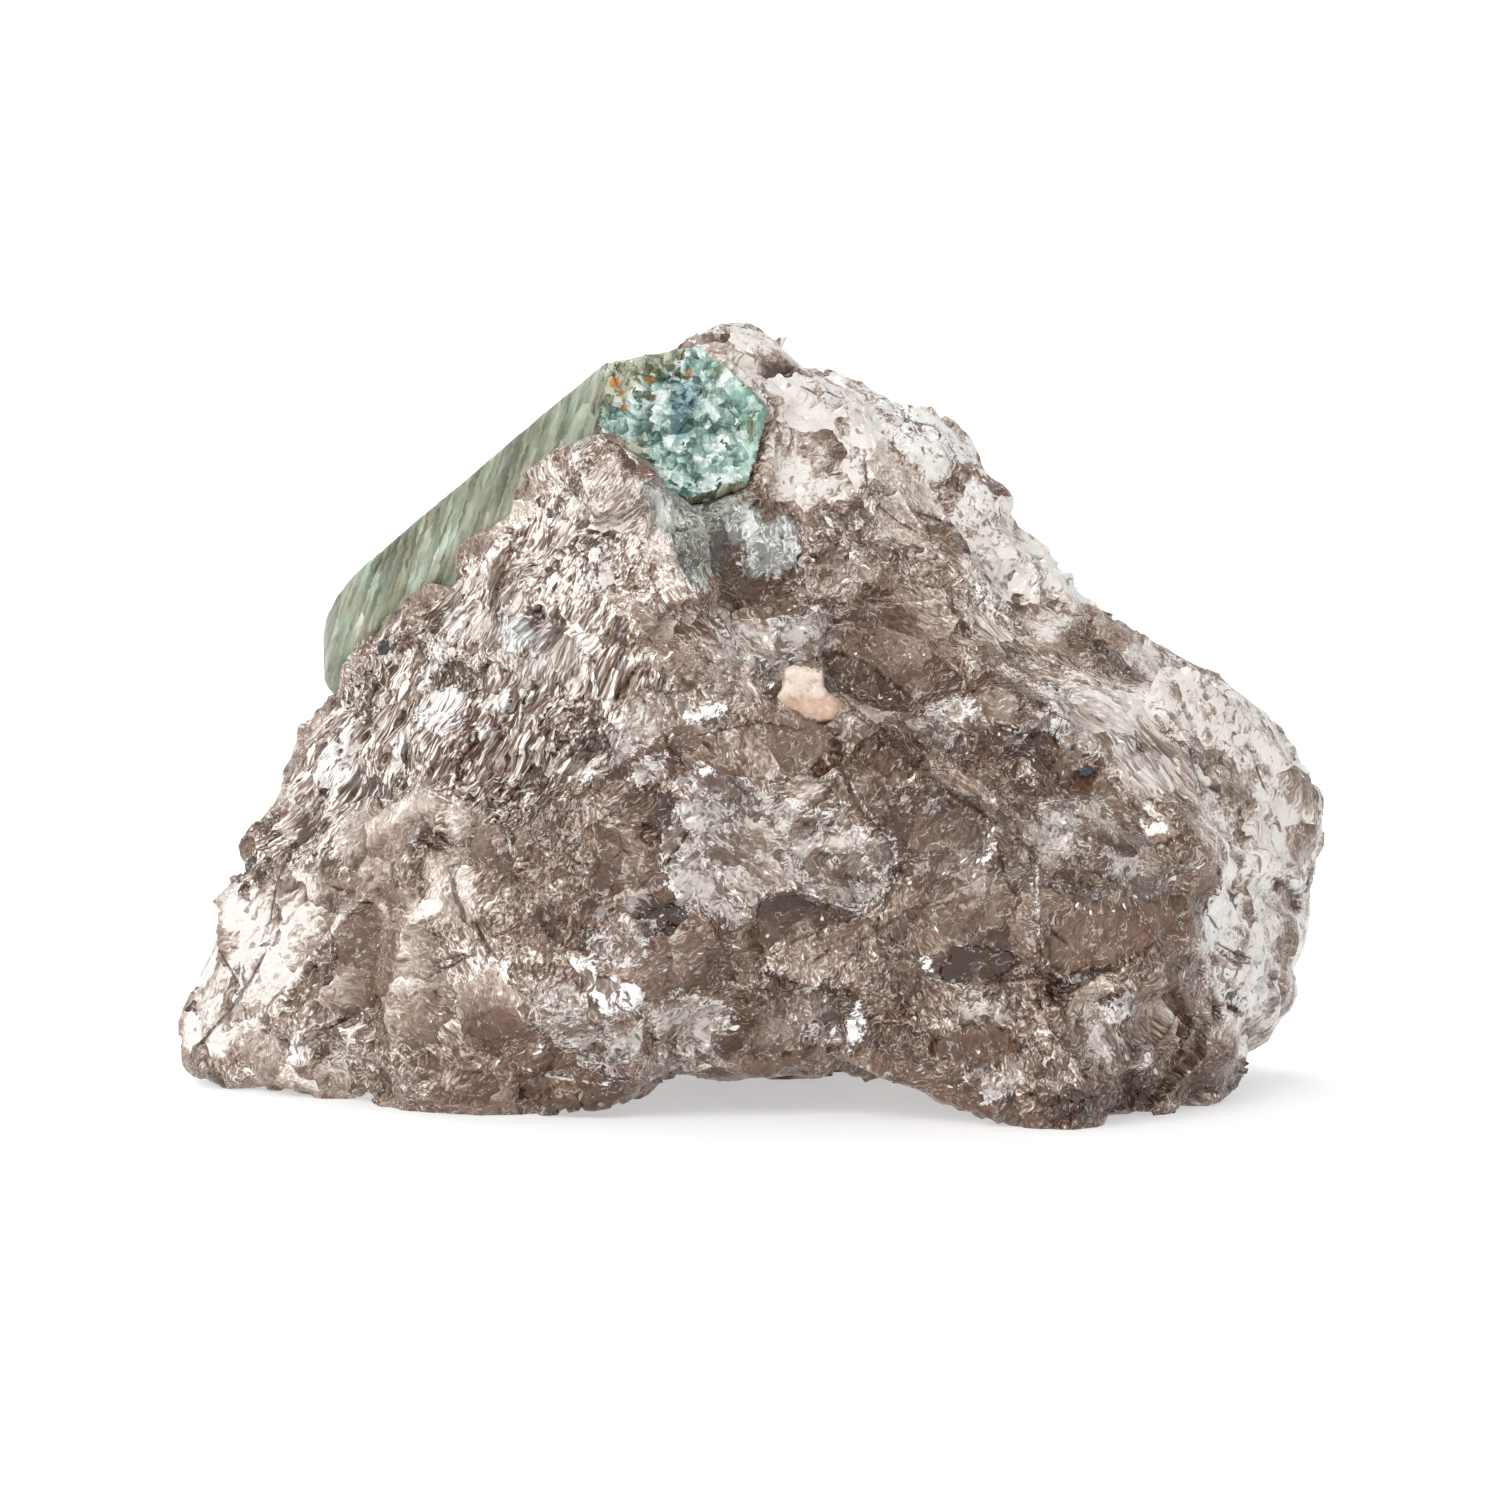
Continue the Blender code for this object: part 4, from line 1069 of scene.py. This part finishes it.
def quartz_shards(net, stone, place):
    """Large broken faces, each with a grain of its own way, and the shards and slivers that follow it. The
    pattern is squeezed along the grain, so that what is drawn there gets long, and along the way out of the
    stone, so that small bumps don't cut it."""
    torn = net.warped(place, 1.7, 0.75, 1.0)
    _, big_away, big, middle = net.cells(torn, 6.0)
    big_parts = net.parts(big)
    own_calm = net.between(big_parts[2], -0.05, 0.2, 0.0, net.blend(stone.flank, 0.8, 0.3))
    busy = net.times(net.opposite(net.times(stone.calm, 0.6)), net.opposite(own_calm))
    stone.busy = net.math("MAXIMUM", busy, net.times(stone.clear, 0.7))
    stone.lively = net.between(net.plus(stone.broad, net.times(big_parts[1], 0.3)), 0.36, 0.62, 0.35, 1.0)
    turned = tuple(b - a for a, b in zip(LEFT_WAY, RIGHT_WAY))
    down = net.vector("ADD", LEFT_WAY, net.vector("SCALE", turned, scale=stone.fibres))
    own_turn = net.vector("SCALE", big, scale=net.blend(stone.streaky, 2.6, 0.6))
    way = net.vector("NORMALIZE", net.vector("ADD", down, own_turn))
    outward = net.attribute("outward", "Vector")
    even = net.vector("ADD", net.vector("SCALE", torn, scale=0.12), net.vector("SCALE", place, scale=0.88))
    even = net.mix(stone.streaky, torn, even)
    off = net.vector("SUBTRACT", even, middle)
    deep = net.vector("SCALE", outward, scale=net.times(net.vector("DOT_PRODUCT", off, outward), -0.8))
    along = net.vector("DOT_PRODUCT", off, way)
    lined = net.vector("SCALE", way, scale=net.times(along, net.blend(stone.streaky, -0.5, -0.78)))
    lined = net.vector("ADD", net.vector("ADD", even, deep), lined)
    finer = net.vector("SCALE", way, scale=net.times(along, stone.streaky, -0.12))
    finer = net.vector("ADD", lined, finer)
    _, stone.small_away, stone.small, _ = net.cells(lined, 1.5)
    stone.tiny_at, stone.tiny_away, stone.tiny, _ = net.cells(finer, 0.42)
    stone.fibre = net.noise(finer, 0.34, 1.0, 0.95)
    stone.wisp = net.noise(lined, 2.6, 3.0, 0.72)
    stone.grain = net.plus(net.times(stone.wisp, 0.55), net.times(stone.fibre, 0.45))
    stone.big, stone.big_away, stone.big_parts = big, big_away, big_parts
    stone.small_parts, stone.tiny_parts = net.parts(stone.small), net.parts(stone.tiny)


def quartz_tone(net, stone):
    """How light the brown stone is: broad smoke, then the tones of the faces, shards and slivers, and
    painted light in the thin, backlit and clear parts.
    """
    clear, flank, busy = stone.clear, stone.flank, stone.busy
    small_slope = net.slope(stone.small_away, stone.small)
    tiny_slope = net.slope(stone.tiny_away, stone.tiny)
    return net.plus(
        0.37,
        net.times(net.centred(stone.broad), 0.3),
        net.times(net.slope(stone.big_away, stone.big), net.blend(clear, 0.26, 0.55)),
        net.times(stone.big_parts[0], net.blend(clear, 0.13, 0.2)),
        net.times(small_slope, busy, net.blend(flank, net.blend(clear, 0.36, 0.6), 0.7), stone.lively),
        net.times(stone.small_parts[0], busy, net.blend(flank, 0.14, 0.3), stone.lively),
        net.times(net.plus(tiny_slope, stone.tiny_parts[0]), busy, net.blend(flank, 0.17, 0.45)),
        net.times(net.centred(stone.fibre), net.blend(flank, 1.1, 1.6), net.blend(busy, 0.3, 1.0),
                  net.blend(clear, 1.0, 0.6)),
        net.times(net.centred(stone.wisp), net.blend(clear, 0.4, 0.85)),
        net.times(flank, 0.09),
        net.times(stone.fibres, 0.07),
        # painted light: lighter where the stone is thin or lit from behind
        net.times(stone.field["glow"], 0.16),
        net.times(stone.hidden, 0.05),
        # painted light: clear stone painted lighter, as light coming through it
        net.times(clear, 0.29),
        net.times(stone.patch("pale", 2.6, -0.6, 0.6), net.blend(clear, 0.14, 0.0)),
        # darker in the dark patches: dark stone, and painted shade in deep steps
        net.times(stone.patch("dark"), -0.1),
    )


def pale_faces(net, stone, tone, colour):
    """The light smooth faces."""
    pale = net.between(net.plus(stone.grain, net.times(tone, 0.5)), 0.55, 0.9)
    pale = net.mix(pale, (0.33, 0.26, 0.215), (0.64, 0.555, 0.495))
    share = net.times(stone.patch("pale", 2.6, -0.3, 0.6), net.blend(stone.clear, 0.4, 0.1))
    return net.mix(share, colour, pale)


def veils(net, stone, colour):
    """Cottony veils, soft in some places and torn in others."""
    ragged, broad, big_parts = stone.ragged, stone.broad, stone.big_parts
    other = net.between(net.plus(broad, net.times(big_parts[1], 0.12), net.times(ragged, 0.3)), 0.56, 0.68)
    other = net.times(other, net.blend(stone.hidden, 0.25, 0.8))
    soft = net.between(net.plus(broad, net.times(big_parts[0], 0.5)), 0.36, 0.6, 0.0, 1.0)
    veil = net.plus(stone.field["veil"], net.times(ragged, 4.2), net.times(big_parts[1], 1.2))
    veil = net.between(veil, net.blend(soft, -0.3, -1.6), net.blend(soft, 0.4, 2.0))
    veil = net.math("MAXIMUM", veil, other)
    cotton = net.plus(net.times(stone.wisp, 0.75), net.times(stone.fibre, 0.35),
                      net.times(stone.tiny_parts[1], 0.05))
    stone.veil = net.times(veil, net.between(cotton, 0.44, 0.64, 0.25, 0.8))
    stone.soft = soft
    white = net.mix(net.between(cotton, 0.48, 0.68), (0.27, 0.225, 0.197), (0.60, 0.555, 0.52))
    return net.mix(stone.veil, colour, white)


def lips(net, stone):
    """Crinkled lips, which are painted white partly as painted highlights: along the borders of the veils,
    and as fine broken lines all over.
    """
    lip = net.plus(stone.field["veil"], net.times(stone.ragged, 4.2), net.times(stone.big_parts[1], 1.2),
                   -0.1)
    lip = net.times(net.between(net.math("ABSOLUTE", lip), 0.3, 0.08), net.between(stone.soft, 0.5, 0.1))
    crease = net.math("ABSOLUTE", net.plus(stone.wisp, net.times(stone.fibre, 0.06), -0.53))
    crease = net.between(crease, 0.018, 0.006)
    broken = net.between(net.plus(stone.fibre, net.times(stone.small_parts[2], 0.2)), 0.45, 0.56)
    crease = net.times(crease, broken, net.blend(stone.veil, 0.35, 1.0))
    return net.math("MAXIMUM", net.times(lip, net.between(stone.grain, 0.42, 0.52, 0.0, 0.75)), crease)


def flakes_glints_and_tints(net, stone, tone, colour):
    """Near-white flakes with glints painted as painted highlights, the blue-green tint by the crystal, and
    the crust under its end.
    """
    flake_and_glint = net.plus(stone.grain, net.times(stone.small_parts[1], 0.3),
                     net.times(stone.tiny_parts[1], 0.15))
    flake_and_glint = net.times(stone.patch("bright", 3.0, -0.15, 0.15), net.between(flake_and_glint, 0.44, 0.48, 0.1, 1.0))
    # painted highlight: the bright patches are painted near-white, partly real flakes and partly glints
    colour = net.mix(flake_and_glint, colour, FLAKE_AND_GLINT_WHITE)
    tint = net.mix(net.between(tone, 0.3, 0.62), (0.075, 0.10, 0.085), (0.33, 0.40, 0.36))
    colour = net.mix(net.times(stone.patch("tinted"), 0.6), colour, tint)
    crust = net.between(net.plus(tone, net.times(stone.small_parts[2], 0.2)), 0.32, 0.62)
    crust = net.mix(crust, (0.23, 0.235, 0.22), (0.72, 0.74, 0.715))
    return net.mix(net.times(stone.patch("crust", 2.6, -0.3, 0.1), 0.85), colour, crust)


def fine_lines(net, stone, lip, colour):
    """Cracks, with painted shade along steps, and thin dark inclusions; then bright edges, lips and
    splinters, painted white partly as painted highlights.
    """
    field, tiny_at, tiny_parts = stone.field, stone.tiny_at, stone.tiny_parts
    wobble = net.times(stone.ragged, 2.6)
    cut = net.times(net.between(net.math("ABSOLUTE", net.plus(field["crack_side"], wobble)), 1.1, 0.6),
                    net.between(net.plus(field["crack_near"], wobble), 0.8, 0.6))
    rim = net.between(net.math("ABSOLUTE", net.plus(field["edge_side"], wobble)), 1.6, 0.3)
    rim = net.times(rim, net.between(field["edge_near"], 0.8, 0.6),
                    net.between(stone.grain, 0.48, 0.58, 0.0, 0.7))
    splinter = net.plus(tiny_parts[1], net.times(stone.wisp, 0.8), net.times(stone.hidden, -0.04),
                        net.times(stone.flank, 0.02))
    splinter = net.times(net.between(splinter, 0.915, 0.925), net.between(tiny_at, 0.52, 0.38))
    needle = net.times(net.between(tiny_at, 0.6, 0.45), net.between(tiny_parts[2], 0.44, 0.46))
    stone.ink = net.math("MAXIMUM", net.times(cut, 0.85), net.times(needle, 0.7))
    # painted shade along steps, with real dark cracks and thin inclusions
    colour = net.mix(stone.ink, colour, CRACK_AND_STEP_SHADE_BROWN)
    # painted highlights: bright edges, lips and splinters, partly real white breaks
    glint = net.math("MAXIMUM", rim, net.times(lip, 0.8))
    stone.glint = net.math("MAXIMUM", glint, net.times(splinter, 0.8))
    return net.mix(stone.glint, colour, GLINT_AND_SPLINTER_WHITE)


def shard_facing(net, stone):
    """Each face, shard and sliver lies its own way and is slightly hollow."""
    turn = net.vector("ADD", net.vector("SCALE", stone.big, scale=0.2),
                      net.vector("SCALE", stone.big_away, scale=0.25))
    shard = net.vector("ADD", net.vector("SCALE", stone.small, scale=0.5),
                       net.vector("SCALE", stone.small_away, scale=0.35))
    turn = net.vector("ADD", turn, net.vector("SCALE", shard, scale=stone.busy))
    chip = net.vector("ADD", stone.tiny, stone.tiny_away)
    chip = net.vector("SCALE", chip, scale=net.blend(stone.streaky, 0.2, 0.55))
    return net.turned(turn, chip)


def quartz_finish():
    """Smoky quartz: brown shards where it is thick, painted lighter where it is thin as painted backlight,
    with veils, cracks and chips.
    """
    made, net, shader, output = principled("smoky_quartz_broken")
    place = net.place()
    stone = Stone(net, QUARTZ_FIELDS, net.centred(net.noise(place, 1.6, 3.0, 0.78)))
    quartz_zones(net, stone, place)
    quartz_shards(net, stone, place)
    tone = quartz_tone(net, stone)
    # painted shade: the band under the arch is tinted dark red-brown, as are reddish parts of the stone
    colour = net.mix(net.times(stone.patch("warm"), 0.3), net.ramp(tone, *SMOKE), RED_BROWN)
    colour = pale_faces(net, stone, tone, colour)
    colour = veils(net, stone, colour)
    lip = lips(net, stone)
    colour = flakes_glints_and_tints(net, stone, tone, colour)
    colour = fine_lines(net, stone, lip, colour)
    frosted = net.math("MAXIMUM", net.math("MAXIMUM", stone.veil, stone.glint), stone.ink)
    through = net.times(net.blend(stone.clear, 0.1, 0.25), net.opposite(net.times(frosted, 0.85)))
    rough = net.blend(frosted, net.between(stone.fibre, 0.3, 0.7, 0.06, 0.22), 0.5)
    set_inputs(net, shader, base_color=colour, roughness=rough, transmission_weight=through,
               ior=QUARTZ_IOR, normal=shard_facing(net, stone))
    absorb(net, output, QUARTZ_SMOKE, QUARTZ_DENSITY)
    return made


def beryl_sides(net, stone, torn):
    """The prism's sides: sheets across the prism, which show as steep olive to sage streaks."""
    sheet = net.drawn_out(net.drawn_out(torn, (0.3, 0.0, 0.95), 10.0), (0.0, 1.0, 0.0), 9.0)
    stone.streak = net.noise(sheet, 1.3, 5.0, 0.72)
    _, strip_away, strip, _ = net.cells(sheet, 0.55)
    stone.strips = net.vector("ADD", strip, strip_away)
    patch = net.noise(torn, 5.5, 4.0, 0.6)
    tone = net.plus(
        0.45,
        net.times(net.centred(stone.streak), 1.3),
        net.times(net.slope(strip_away, strip), 0.3),
        net.times(net.parts(strip)[0], 0.2),
        net.times(net.centred(patch), 0.5),
    )
    side = net.ramp(tone, *SAGE)
    green = net.mix(net.between(tone, 0.25, 0.7), (0.07, 0.13, 0.09), (0.34, 0.45, 0.37))
    side = net.mix(net.between(patch, 0.52, 0.64, 0.0, 0.55), side, green)
    ochre = net.between(net.plus(stone.streak, net.parts(strip)[1]), 0.4, 0.75)
    return net.mix(net.times(net.between(patch, 0.46, 0.37), ochre, 0.5), side, OCHRE)


def beryl_end(net, stone, torn, place):
    """The prism's end: teal shards with white edges, calmer and greener at its right rim."""
    _, chip_away, chip, _ = net.cells(torn, 3.0)
    _, bit_away, bit, _ = net.cells(torn, 1.25)
    _, crumb_away, crumb, _ = net.cells(torn, 0.5)
    bit_parts = net.parts(bit)
    stone.bits, stone.chips = net.vector("ADD", bit, bit_away), net.vector("ADD", chip, chip_away)
    rim = stone.patch("rim", 1.4, -0.4, 0.5)
    lively = net.blend(rim, 1.0, 0.4)
    face = net.plus(
        0.585,
        net.times(net.centred(net.noise(place, 2.2, 4.0, 0.6)), 0.4),
        net.times(net.slope(chip_away, chip), 0.5),
        net.times(net.slope(bit_away, bit), lively, 0.5),
        net.times(bit_parts[0], lively, 0.2),
        net.times(net.slope(crumb_away, crumb), lively, 0.16),
        net.times(stone.ragged, lively, 0.3),
    )
    stone.face = face
    ends = net.ramp(face, *TEAL)
    calm = net.mix(net.between(face, 0.3, 0.6), (0.15, 0.33, 0.27), (0.42, 0.62, 0.54))
    ends = net.mix(net.times(rim, 0.7), ends, calm)
    bronze = net.mix(net.between(face, 0.3, 0.65), (0.11, 0.11, 0.045), (0.50, 0.47, 0.30))
    ends = net.mix(net.times(stone.patch("olive", 3.0, -0.5, 0.6), 0.75), ends, bronze)
    deep = net.mix(net.between(face, 0.3, 0.7), (0.03, 0.095, 0.125), (0.26, 0.42, 0.46))
    ends = net.mix(net.times(stone.patch("blue", 2.4, -0.4, 0.4), 0.85), ends, deep)
    white = stone.patch("white", 1.6, -0.2, 0.3, net.times(bit_parts[1], 0.6))
    ends = net.mix(net.times(white, 0.8), ends, BERYL_EDGE_WHITE)
    stain = net.mix(net.between(stone.ragged, -0.1, 0.1), RUST_DARK, RUST_LIGHT)
    return net.mix(net.times(stone.patch("rust", 1.5, -0.1, 0.2), 0.95), ends, stain)


def beryl_finish():
    """Aquamarine: olive to sage prism faces with steep streaks, and a teal broken end of shards."""
    made, net, shader, output = principled("aquamarine_mottled")
    place = net.place()
    torn = net.warped(place, 1.1, 0.4, 3.0)
    stone = Stone(net, BERYL_FIELDS, net.centred(net.noise(place, 0.9, 5.0, 0.75)))
    side = beryl_sides(net, stone, torn)
    ends = beryl_end(net, stone, torn, place)
    end = stone.patch("end", 0.5, -0.15, 0.15)
    rough = net.blend(end, net.between(stone.streak, 0.3, 0.7, 0.22, 0.45),
                      net.between(stone.face, 0.3, 0.7, 0.12, 0.4))
    turn = net.vector("ADD", net.vector("SCALE", stone.bits, scale=0.4),
                      net.vector("SCALE", stone.chips, scale=0.3))
    turn = net.vector("SCALE", turn, scale=end)
    strips = net.vector("SCALE", stone.strips, scale=net.times(net.opposite(end), 0.22))
    set_inputs(net, shader, base_color=net.mix(end, side, ends), roughness=rough, transmission_weight=0.12,
               ior=BERYL_IOR, normal=net.turned(turn, strips))
    absorb(net, output, BERYL_TEAL, BERYL_DENSITY)
    return made


def aquamarine(finish, tree):
    """The six-sided prism: low growth steps along its sides and a broken, chipped end."""
    made = merged_copy("aquamarine_crystal", "aquamarine_prism")
    remesh(made, BERYL_VOXEL)
    shape = Shape(made.data)
    axis = np.array(Vector(AXIS).normalized())
    on_end = steps(shape.ways(1) @ -axis, 0.35, 0.7)
    on_end *= steps((shape.spots - np.array(END_MIDDLE)) @ axis, *END_REACH)
    keep(made.data, "end_mask", shape.spread(on_end, 2))
    keep(made.data, "side_mask", 1 - shape.spread(on_end, 2))
    cleave(made, tree, finish, "end_mask", cell_size=2.6, tilt=0.35, most_step=0.5, lift=0.35, hollow=0.2,
           ragged=1.2, seed=4.0)
    cleave(made, tree, finish, "end_mask", cell_size=0.9, tilt=0.35, most_step=0.16, lift=0.12, ragged=0.6,
           seed=5.0)
    cleave(made, tree, finish, "side_mask", cell_size=2.2, tilt=0.02, most_step=0.04, lift=0.05,
           ragged=2.0, stretch=9.0, seed=6.0, along=tuple(axis))
    baked(made)
    shape = Shape(made.data)
    on_end = kept(made.data, "end_mask")
    ways = shape.ways(2)
    shape.spots += ways * (BERYL_SWELL * (1 - on_end))[:, None]
    shape.hold_in_box()
    shape.write(made.data)
    for name in ("way", "end_mask", "side_mask"):
        made.data.attributes.remove(made.data.attributes[name])
    flat = on_front(shape.spots)
    slant = ways @ -axis > 0.4
    for name, outlines in (("end", (BERYL_END,)), ("blue", (BERYL_BLUE,)), ("rim", (BERYL_RIM,)),
                           ("olive", BERYL_OLIVE), ("white", BERYL_WHITE)):
        keep(made.data, name, np.where(slant, inside_any(flat, outlines, 3.0), -3.0))
    rust = np.full(len(flat), -3.0)
    for column, row, reach in RUST:
        rust = np.maximum(rust, reach - np.linalg.norm(flat - seen_at([(column, row)])[0], axis=1))
    keep(made.data, "rust", rust)
    crisp(made.data, BERYL_CRISP)
    return made


def feldspar(finish):
    """The peach grain, a little wider low down."""
    made = merged_copy("feldspar_grain", "feldspar_patch")
    remesh(made, FELDSPAR_VOXEL)
    shape = Shape(made.data)
    rough = noise_at(shape.spots, 1.2, 4) * 0.12
    shape.spots += shape.ways(2) * (rough + FELDSPAR_SWELL)[:, None]
    middle = shape.spots.mean(axis=0)
    low = steps(FELDSPAR_TOP - shape.spots[:, 2], -0.6, 1.6)
    shape.spots[:, 0] = middle[0] + (shape.spots[:, 0] - middle[0]) * (0.85 + 0.4 * low)
    shape.write(made.data)
    cover(made, finish)
    crisp(made.data, FELDSPAR_CRISP)
    return made


def tourmaline(node, name, finish, stretch):
    """A small black grain that fills its pocket, drawn out to the width and height that it shows."""
    made = merged_copy(node, name)
    remesh(made, TOURMALINE_VOXEL)
    shape = Shape(made.data)
    middle = shape.spots.mean(axis=0)
    shape.spots = middle + (shape.spots - middle) * np.array(stretch)
    shape.spots += shape.ways(2) * (noise_at(shape.spots, 0.5, 3) * 0.1 + TOURMALINE_SWELL)[:, None]
    shape.write(made.data)
    cover(made, finish)
    crisp(made.data, TOURMALINE_CRISP)
    return made


def feldspar_finish():
    """Peach feldspar: mottled and dull, whitish at its top."""
    made, net, shader, _ = principled("feldspar_peach")
    place = net.place()
    grain = net.noise(net.warped(place, 1.0, 0.4), 0.9, 6.0, 0.65)
    patch = net.noise(place, 3.0, 3.0, 0.5)
    colour = net.mix(net.between(patch, 0.4, 0.62), (0.50, 0.33, 0.24), (0.58, 0.43, 0.34))
    up = net.math("SUBTRACT", net.parts(place)[2], FELDSPAR_TOP)
    whitish = net.between(net.plus(up, net.times(grain, 1.6)), 0.0, 1.0, 0.0, 0.75)
    colour = net.mix(whitish, colour, (0.62, 0.54, 0.48))
    colour = net.mix(net.between(grain, 0.52, 0.66, 0.0, 0.7), colour, (0.72, 0.60, 0.50))
    colour = net.mix(net.between(grain, 0.47, 0.36, 0.0, 0.6), colour, (0.34, 0.20, 0.13))
    bump = net.add("ShaderNodeBump", {"Strength": 0.4, "Distance": 0.0002, "Height": grain})
    set_inputs(net, shader, base_color=colour, roughness=net.between(grain, 0.3, 0.7, 0.35, 0.6), ior=1.53,
               normal=bump.outputs[0])
    return made


def tourmaline_finish():
    """Black tourmaline: glossy, with a trace of blue."""
    made, net, shader, _ = principled("tourmaline_black")
    place = net.place()
    grain = net.noise(place, 0.4, 5.0, 0.65)
    colour = net.mix(net.between(grain, 0.45, 0.7), (0.006, 0.007, 0.01), (0.03, 0.04, 0.055))
    bump = net.add("ShaderNodeBump", {"Strength": 0.5, "Distance": 0.0001, "Height": grain})
    set_inputs(net, shader, base_color=colour, roughness=net.between(grain, 0.3, 0.7, 0.12, 0.35),
               ior=1.64, normal=bump.outputs[0])
    return made


def floor():
    """A pale table that is lit from below as well, as for product photographs."""
    made, net, shader, _ = principled("white_table")
    set_inputs(net, shader, base_color=(TABLE_GREY, TABLE_GREY, TABLE_GREY, 1.0), roughness=0.9,
               emission_color=(1.0, 1.0, 1.0, 1.0), emission_strength=TABLE_GLOW)
    bm = bmesh.new()
    bmesh.ops.create_grid(bm, x_segments=1, y_segments=1, size=TABLE_HALF)
    mesh = bpy.data.meshes.new("table_top")
    bm.to_mesh(mesh)
    bm.free()
    mesh.materials.append(made)
    top = bpy.data.objects.new("table_top", mesh)
    bpy.context.scene.collection.objects.link(top)


def lamp(name, place, spread, power):
    """A broad soft light from far away, which lights the whole table evenly."""
    light = bpy.data.lights.new(name, "SUN")
    light.energy = power
    light.angle = math.radians(spread)
    made = bpy.data.objects.new(name, light)
    made.location = Vector(place)
    made.rotation_euler = (-made.location).to_track_quat("-Z", "Y").to_euler()
    bpy.context.scene.collection.objects.link(made)


def studio():
    """A white tent that is brightest low down, with one soft light in front on the left and one behind."""
    scene = bpy.context.scene
    world = bpy.data.worlds.new("white_tent")
    world.use_nodes = True
    net = Net(world.node_tree)
    up = net.parts(net.add("ShaderNodeTexCoord").outputs["Generated"])[2]
    tone = net.between(up, TENT_LOW[0], TENT_HIGH[0], TENT_LOW[1], TENT_HIGH[1])
    back = world.node_tree.nodes["Background"]
    net.put(back.inputs["Color"], (1.0, 1.0, 1.0, 1.0))
    net.put(back.inputs["Strength"], tone)
    scene.world = world
    lamp("left_light", *LEFT_LIGHT)
    lamp("back_light", *BACK_LIGHT)
    scene.view_settings.view_transform = "Standard"
    scene.view_settings.look = "None"
    scene.view_settings.exposure = EXPOSURE
    scene.cycles.use_denoising = True


def camera():
    """The camera of the photograph: far away and a little above the specimen."""
    lens = bpy.data.cameras.new("camera")
    lens.lens = LENS
    lens.sensor_width = SENSOR
    made = bpy.data.objects.new("camera", lens)
    target = Vector(CAMERA_TARGET) * MM
    back = Vector((0.0, -math.cos(LOOK_DOWN), math.sin(LOOK_DOWN)))
    made.location = target + back * CAMERA_AWAY * MM
    made.rotation_euler = (-back).to_track_quat("-Z", "Y").to_euler()
    bpy.context.scene.collection.objects.link(made)
    bpy.context.scene.camera = made


def main():
    camera()
    studio()
    floor()
    tree = cleaving()
    black = tourmaline_finish()
    pieces = (
        (quartz(quartz_finish(), tree), "quartz_matrix", "smoky_quartz"),
        (aquamarine(beryl_finish(), tree), "aquamarine_crystal", "aquamarine"),
        (feldspar(feldspar_finish()), "feldspar_grain", "feldspar"),
        (tourmaline("tourmaline_grain_right", "tourmaline_fleck", black, FLECK_STRETCH),
         "tourmaline_grain_right", "tourmaline"),
        (tourmaline("tourmaline_grain_left", "tourmaline_speck", black, SPECK_STRETCH),
         "tourmaline_grain_left", "tourmaline"),
    )
    for piece, node, slot in pieces:
        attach(piece, "root")
        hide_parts(node)


main()
